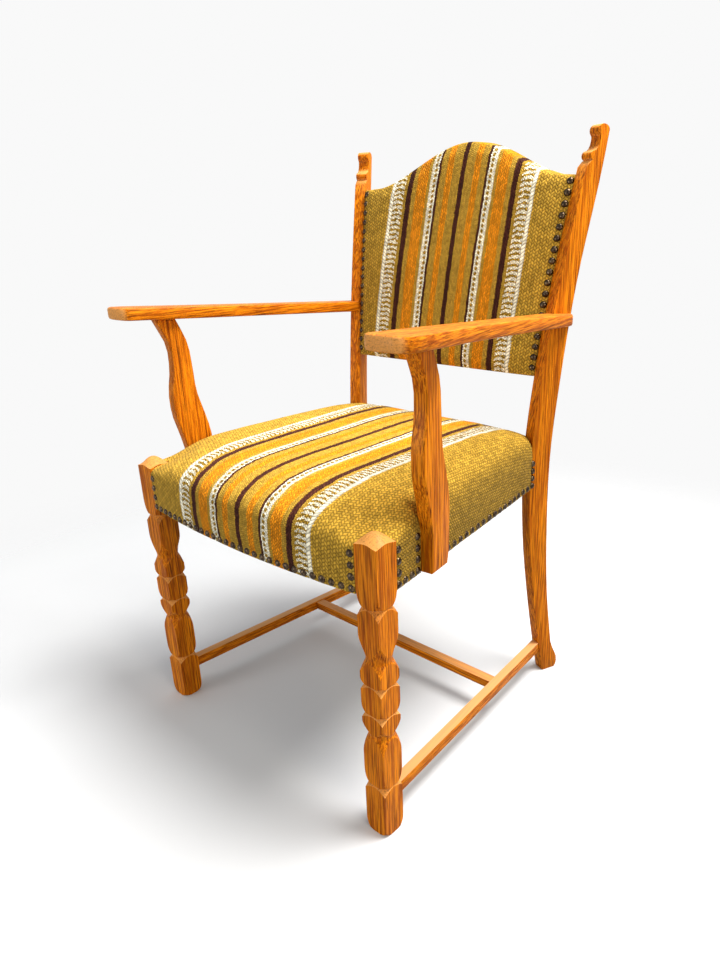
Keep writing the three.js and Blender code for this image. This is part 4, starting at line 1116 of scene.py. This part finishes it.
BACK_ROW = (0.580, 0.857)  # heights of the lowest and the highest nail beside the back posts
BACK_ROW_IN = 0.0058  # from the posts' inner faces
BACK_ROW_FORWARD = 0.0012
BACK_NAIL_TURN = 0.45  # how much a nail beside a back post looks outward and up
BACK_NAIL_TILT = 0.12
SEAT_ROW_UP = 0.0062  # from the cover's lower edge
LEG_ROW_IN = 0.0065  # front row's ends, from the legs' inner faces
LEG_ROW_BACK = 0.0075  # from the legs' rear faces
POST_ROW_BACK = 0.0235  # from the arm post's front corner
POST_ROW_BEHIND = 0.007  # from its rear corner
REAR_ROW_END = 0.1735  # the last nail in front of the back post
REAR_SPREAD = 1.08  # pitch behind the arm posts, as a share of the nails' pitch
REAR_COLUMN_SPREAD = 0.8
COLUMN = 4  # nails in a column, with the one in the row
NAIL_LEAN = 0.08
NAIL_SINK = 0.0003
NAIL_START = 0.03  # how far off the cloth a nail starts when it looks for it, and how far it looks
NAIL_LOOK = 0.05
NAIL_RINGS = 5
NAIL_SKIRT = [(1.0, -0.12), (1.02, 0.0)]  # (radius, rise) shares of the head's lower edge


def back_nails(nails):
    """(place, outward normal) of the nails down both sides of the back."""
    found = []
    low, high = BACK_ROW
    count = round((high - low) / nails.pitch) + 1
    for side in (1, -1):
        for i in range(count):
            z = mix(low, high, i / (count - 1))
            corner = post_corner(z)
            normal = Vector((side * BACK_NAIL_TURN, -1, BACK_NAIL_TILT)).normalized()
            found.append((Vector((side * (corner.x - BACK_ROW_IN), corner.y - BACK_ROW_FORWARD, z)), normal))
    return found


def seat_nails(nails):
    """(place, outward normal) of the nails round the seat's lower edge and beside legs and posts."""
    found = []
    row = SEAT_LOW.z + SEAT_ROW_UP
    inner = LEG_LOW.x - LEG_ROW_IN
    count = round(2 * inner / nails.pitch)
    for i in range(count + 1):
        x = mix(-inner, inner, i / count)
        found.append((Vector((x, front_edge(x), row)), Vector((x / FRONT_BOW_RADIUS, -1, 0)).normalized()))
    leg_back, post_front = LEG_HIGH.y + LEG_ROW_BACK, ARM_POST_LOW.y + POST_ROW_BACK
    rear = (ARM_POST_HIGH.y + POST_ROW_BEHIND, REAR_ROW_END, REAR_SPREAD * nails.pitch)
    for side in (1, -1):
        outward = Vector((side, TAPER, 0)).normalized()
        for first, last, pitch in ((leg_back, post_front, nails.pitch), rear):
            steps = max(1, round((last - first) / pitch))
            for i in range(steps + 1):
                y = mix(first, last, i / steps)
                found.append((Vector((side * side_edge(y), y, row)), outward))
        for i in range(1, COLUMN):
            z = row + i * nails.pitch
            for y in (leg_back, post_front):
                found.append((Vector((side * side_edge(y), y, z)), outward))
            found.append((Vector((side * inner, front_edge(inner), z)), Vector((0, -1, 0))))
            z = row + i * REAR_COLUMN_SPREAD * nails.pitch
            found.append((Vector((side * side_edge(REAR_ROW_END), REAR_ROW_END, z)), outward))
    return found


def nail_heads(bm, cover, places, nails, rng):
    """Domed heads, each a little off true, seated on the cloth."""
    arc = [math.pi / 2 * i / NAIL_RINGS for i in range(1, NAIL_RINGS)]
    profile = NAIL_SKIRT + [(math.cos(angle), math.sin(angle)) for angle in arc]
    for nominal, outward in places:
        start = nominal + outward * NAIL_START
        found, where, normal, _ = cover.ray_cast(start, -outward, distance=NAIL_LOOK)
        if not found:
            where, normal = nominal, outward
        lean = Vector((rng.uniform(-1, 1), rng.uniform(-1, 1), rng.uniform(-1, 1))) * NAIL_LEAN
        axis = (normal + lean).normalized()
        turn = axis.to_track_quat("Z", "Y").to_matrix().to_4x4()
        size = rng.uniform(0.96, 1.05)
        place_at = Matrix.Translation(where - normal * NAIL_SINK) @ turn
        rows = []
        for radius, rise in profile:
            ring = []
            for i in range(nails.segments):
                angle = 2 * math.pi * i / nails.segments
                reach = nails.radius * size * radius
                local = Vector((reach * math.cos(angle), reach * math.sin(angle), nails.rise * rise))
                ring.append(bm.verts.new(place_at @ local))
            rows.append(ring + ring[:1])
        grid_faces(bm, rows)
        tip = bm.verts.new(place_at @ Vector((0, 0, nails.rise)))
        last = rows[-1]
        for i in range(nails.segments):
            bm.faces.new((last[i], last[i + 1], tip))
        bm.faces.new(list(reversed(rows[0][:-1])))


class CHAIR_OT_nails(bpy.types.Operator):
    """Domed nails down the back's sides and round the seat's lower edge"""
    bl_idname = "captains_chair.nails"
    bl_label = "Nails"

    def execute(self, context):
        nails = context.scene.chair_nails
        rng = random.Random(7)
        metal = metal_material("antique_bronze", linear(52, 42, 34), 0.26, linear(96, 80, 60))
        for name, places in (("back", back_nails(nails)), ("seat", seat_nails(nails))):
            bm = bmesh.new()
            nail_heads(bm, bpy.data.objects[f"striped_{name}_cover"], places, nails, rng)
            bmesh.ops.recalc_face_normals(bm, faces=bm.faces)
            shade(bm, 50)
            new_object(name + "_nails", bm, metal)
        return {"FINISHED"}


# Outside back and lining

OUTSIDE_IN = 0.0036  # from the back's sides
OUTSIDE_DOWN = 0.003  # from its top edge
HEM_BAND = (0.93, 0.05)  # where the folded hem starts, as a share of the way out, and its width
HEM_RISE = 0.0016
TUCK_BAND = (0.98, 0.02)  # where it turns in against the frame
TUCK = 0.002
OUTSIDE_CLEAR = 0.0006  # behind the frame
OUTSIDE_STEPS = (60, 48)
LINING_IN = 0.009  # from the seat's sides and front
LINING_BY_LEGS = 0.0065
LINING_NOTCH = (0.02, 0.03)  # width and depth of its narrower end between the back posts
LINING_SAG = 0.004
LINING_THICKNESS = 0.0006
LINING_STEPS = (48, 44)
LINING_UP = 0.0008  # above the CAD sheet's lower face, at its edges


def hemmed(a, b, start, width):
    """How far a place lies in the band that starts at a share of the way out to the cloth's edges."""
    return max(smooth((abs(a) - start) / width), smooth((abs(2 * b - 1) - start) / width))


def outside_back_point(a, b):
    """A place on the cloth behind the back, with a rolled hem along its edges."""
    corner = post_corner(mix(OUTSIDE_LOW.z, SHOULDER, b))
    x = a * (corner.x + math.tan(POST_TURN) * PANEL_THICKNESS - OUTSIDE_IN)
    z = mix(OUTSIDE_LOW.z, crest(x) - OUTSIDE_DOWN, b)
    hem = HEM_RISE * hemmed(a, b, *HEM_BAND)
    tuck = TUCK * hemmed(a, b, *TUCK_BAND)
    return (x, post_corner(z).y + PANEL_THICKNESS + OUTSIDE_CLEAR + hem - tuck, z)


class CHAIR_OT_outside_back(bpy.types.Operator):
    """The cloth that closes the back from behind"""
    bl_idname = "captains_chair.outside_back"
    bl_label = "Outside back"

    def execute(self, context):
        cloth = context.scene.chair_cloth
        bm = cloth_mesh()
        rows = even_rows(bm, *OUTSIDE_STEPS, outside_back_point)
        lay_cloth(bm, rows, 1, cloth.back_middle)
        grid_faces(bm, rows)
        turn_out(bm, 1)
        shade(bm, 60)
        # Painted top light as on the back
        piece = new_object("outside_back", bm, cloth_material("striped_wool_outside", 0.2))
        thicken(piece, cloth.thickness)
        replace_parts(piece, "outside_back_cover")
        return {"FINISHED"}


class CHAIR_OT_lining(bpy.types.Operator):
    """The black dust cover tacked under the seat"""
    bl_idname = "captains_chair.lining"
    bl_label = "Dust cover"

    def execute(self, context):
        low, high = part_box("seat_dust_cover")

        def point_at(a, b):
            """A place on the lining, which sags a little in its middle."""
            y = mix(low.y, high.y, b)
            half = side_edge(y) - LINING_IN
            if y < LEG_HIGH.y + 0.001:
                half = min(half, LEG_LOW.x - LINING_BY_LEGS)
            narrower, notch = LINING_NOTCH
            half -= narrower * smooth((y - high.y + notch) / notch)
            x = a * half
            if b < 0.5:
                y = mix(front_edge(x) + LINING_IN, y, smooth(b * 2))
            sag = LINING_SAG * (1 - a * a) * (1 - (2 * b - 1) ** 2)
            return (x, y, low.z + LINING_UP - sag)

        bm = bmesh.new()
        grid_faces(bm, even_rows(bm, *LINING_STEPS, point_at))
        turn_out(bm, 2)
        shade(bm, 60)
        black = plain_cloth("black_lining", linear(30, 28, 27), 1.2, 0.92, 0.0002)
        lining = new_object("dust_cover", bm, black)
        thicken(lining, LINING_THICKNESS)
        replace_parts(lining, "seat_dust_cover")
        return {"FINISHED"}


# Hidden frame

class CHAIR_OT_inside(bpy.types.Operator):
    """Rails, corner blocks, the back's frame, webbing and screws"""
    bl_idname = "captains_chair.inside"
    bl_label = "Inside the upholstery"

    def execute(self, context):
        webbing = plain_cloth("jute_webbing", linear(176, 148, 104), 3.0, 0.9, 0.0006)
        steel = metal_material("bright_steel", linear(154, 149, 140), 0.4, linear(190, 186, 178))
        across, along, upright = (beech("beech_" + way, axis)
                                  for way, axis in (("across", "x"), ("along", "y"), ("upright", "z")))
        kinds = {"strap": webbing, "screw": steel, "stile": upright, "side_rail": along}
        for name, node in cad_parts.items():
            if node.hide_render:
                continue
            fitting = [material for kind, material in kinds.items() if kind in name]
            node.data.materials.clear()
            node.data.materials.append(fitting[0] if fitting else across)
        return {"FINISHED"}


# Studio

CAMERA_AT = (0.7935, -0.8359, 0.8198)
CAMERA_TURN = math.radians(43.965)
CAMERA_DOWN = math.radians(21.562)
CAMERA_ROLL = math.radians(-2.474)
FOCAL_PIXELS = 718.3
OPTICAL_AXIS = (364.73, 500.03)
PICTURE = (720, 960)
SENSOR = 36.0
FLOOR_RADIUS = 6.0
FLOOR_DROP = 0.0005
BOUNCE_SHARE = 0.35  # how much of the floor's colour lights the chair from below
LIT_SIDE = (-0.35, 0.55, 0.75)
LAMPS_AIM = (0, 0, 0.4)
SURROUND = (0.947, 0.947, 0.947, 1)
# Name, place, size, share of the key lamp's power, and colour
LAMPS = (("key_lamp", (0.85, 0.5, 2.5), 1.3, 1.0, (1.0, 0.97, 0.93)),
         ("side_lamp", (2.6, -0.9, 1.3), 1.4, 0.26, (1.0, 0.88, 0.7)),
         ("front_lamp", (-0.9, -2.6, 0.7), 1.2, 0.22, (1.0, 1.0, 1.0)))


def add_camera(scene):
    """The photograph's viewpoint."""
    camera = bpy.data.cameras.new("camera")
    camera.sensor_width = SENSOR
    camera.lens = FOCAL_PIXELS / PICTURE[1] * SENSOR
    camera.shift_x = (PICTURE[0] / 2 - OPTICAL_AXIS[0]) / PICTURE[1]
    camera.shift_y = (OPTICAL_AXIS[1] - PICTURE[1] / 2) / PICTURE[1]
    camera.clip_start, camera.clip_end = 0.05, 50
    flat = math.cos(CAMERA_DOWN)
    back = Vector((math.sin(CAMERA_TURN) * flat, -math.cos(CAMERA_TURN) * flat, math.sin(CAMERA_DOWN)))
    level = (-back).cross(Vector((0, 0, 1))).normalized()
    upright = level.cross(-back)
    right = math.cos(CAMERA_ROLL) * level + math.sin(CAMERA_ROLL) * upright
    up = math.cos(CAMERA_ROLL) * upright - math.sin(CAMERA_ROLL) * level
    turn = Matrix((right, up, back)).transposed().to_4x4()
    holder = bpy.data.objects.new("camera", camera)
    holder.matrix_world = Matrix.Translation(CAMERA_AT) @ turn
    scene.collection.objects.link(holder)
    scene.camera = holder


def seen_rays(tree):
    """1 for the rays that see the surround: the camera's own, and those off metal and through glass."""
    camera, glossy, through = (read(tree, "LightPath", output=f"Is {kind} Ray")
                               for kind in ("Camera", "Glossy", "Transmission"))
    return camera.at_least(glossy.at_least(through))


def floor_material(colour):
    """Pale floor that fades into the white surround away from the chair and is clear from below."""
    material, tree, shader = new_material("pale_floor", Roughness=0.9, Specular_IOR_Level=0.1)
    seen = seen_rays(tree)
    dimmed = [BOUNCE_SHARE * part for part in colour]
    feed(tree, shader.inputs["Base Color"], seen.mix((*dimmed, 1), (*colour, 1)))
    where = read(tree, "TexCoord", output="Object")
    away = read(tree, "VectorMath", {0: where}, "Value", operation="LENGTH")
    fade = (away / (FLOOR_RADIUS / 2)).ramp([(0.2, 1.0), (0.5, 0.0)], "EASE")
    above = 1.0 - read(tree, "NewGeometry", output="Backfacing")
    feed(tree, shader.inputs["Alpha"], (fade * above).at_least(1.0 - seen))
    return material


def add_lamp(scene, name, place_at, size, power, colour):
    """A round soft lamp that looks at the chair."""
    lamp = bpy.data.lights.new(name, "AREA")
    lamp.shape = "DISK"
    lamp.size = size
    lamp.energy = power
    lamp.color = colour
    holder = bpy.data.objects.new(name, lamp)
    holder.location = place_at
    holder.rotation_mode = "QUATERNION"
    holder.rotation_quaternion = (Vector(LAMPS_AIM) - Vector(place_at)).to_track_quat("-Z", "Y")
    scene.collection.objects.link(holder)


class CHAIR_OT_studio(bpy.types.Operator):
    """Pale floor, soft lamps, white surround and the camera"""
    bl_idname = "captains_chair.studio"
    bl_label = "Studio"

    def execute(self, context):
        scene = context.scene
        studio = scene.chair_studio
        bm = bmesh.new()
        bmesh.ops.create_circle(bm, cap_ends=True, segments=96, radius=FLOOR_RADIUS)
        mesh = bpy.data.meshes.new("floor")
        bm.to_mesh(mesh)
        bm.free()
        mesh.materials.append(floor_material(studio.floor))
        floor = bpy.data.objects.new("floor", mesh)
        floor.location.z = -FLOOR_DROP
        scene.collection.objects.link(floor)

        world = bpy.data.worlds.new("white_surround")
        scene.world = world
        world.use_nodes = True
        tree = world.node_tree
        tree.nodes.clear()
        toward = read(tree, "TexCoord", output="Generated")
        facing = read(tree, "VectorMath", {0: toward, 1: LIT_SIDE}, "Value", operation="DOT_PRODUCT")
        level = facing.scaled(0.5, 0.5).ramp([(0.15, 0.3), (0.5, 0.5), (0.85, 1.0)])
        lit = read(tree, "Background", {"Color": level, "Strength": studio.sky})
        shown = read(tree, "Background", {"Color": SURROUND, "Strength": 1.0})
        both = read(tree, "MixShader", {0: seen_rays(tree), 1: lit, 2: shown})
        feed(tree, tree.nodes.new("ShaderNodeOutputWorld").inputs["Surface"], both)

        for name, place_at, size, share, colour in LAMPS:
            add_lamp(scene, name, place_at, size, share * studio.key, colour)
        scene.view_settings.view_transform = "Standard"
        add_camera(scene)
        return {"FINISHED"}


class CHAIR_PT_panel(bpy.types.Panel):
    """Lists the chair's steps"""
    bl_idname = "CHAIR_PT_panel"
    bl_label = "Captains chair"
    bl_space_type = "VIEW_3D"
    bl_region_type = "UI"
    bl_category = "Chair"

    def draw(self, context):
        for operator in OPERATORS:
            self.layout.operator(operator.bl_idname)
        for settings in SETTINGS:
            held = getattr(context.scene, settings)
            for name in held.__annotations__:
                self.layout.prop(held, name)


SETTINGS = {"chair_wood": ChairWood, "chair_cloth": ChairCloth, "chair_nails": ChairNails,
            "chair_studio": ChairStudio}
OPERATORS = (CHAIR_OT_legs, CHAIR_OT_boards, CHAIR_OT_seat, CHAIR_OT_back, CHAIR_OT_outside_back,
             CHAIR_OT_lining, CHAIR_OT_nails, CHAIR_OT_inside, CHAIR_OT_studio)


def register():
    for kind in (*SETTINGS.values(), *OPERATORS, CHAIR_PT_panel):
        bpy.utils.register_class(kind)
    for name, kind in SETTINGS.items():
        setattr(bpy.types.Scene, name, PointerProperty(type=kind))


def unregister():
    for name in SETTINGS:
        delattr(bpy.types.Scene, name)
    for kind in reversed((*SETTINGS.values(), *OPERATORS, CHAIR_PT_panel)):
        bpy.utils.unregister_class(kind)


def main():
    register()
    for operator in OPERATORS:
        family, name = operator.bl_idname.split(".")
        getattr(getattr(bpy.ops, family), name)()


if __name__ == "__main__":
    main()
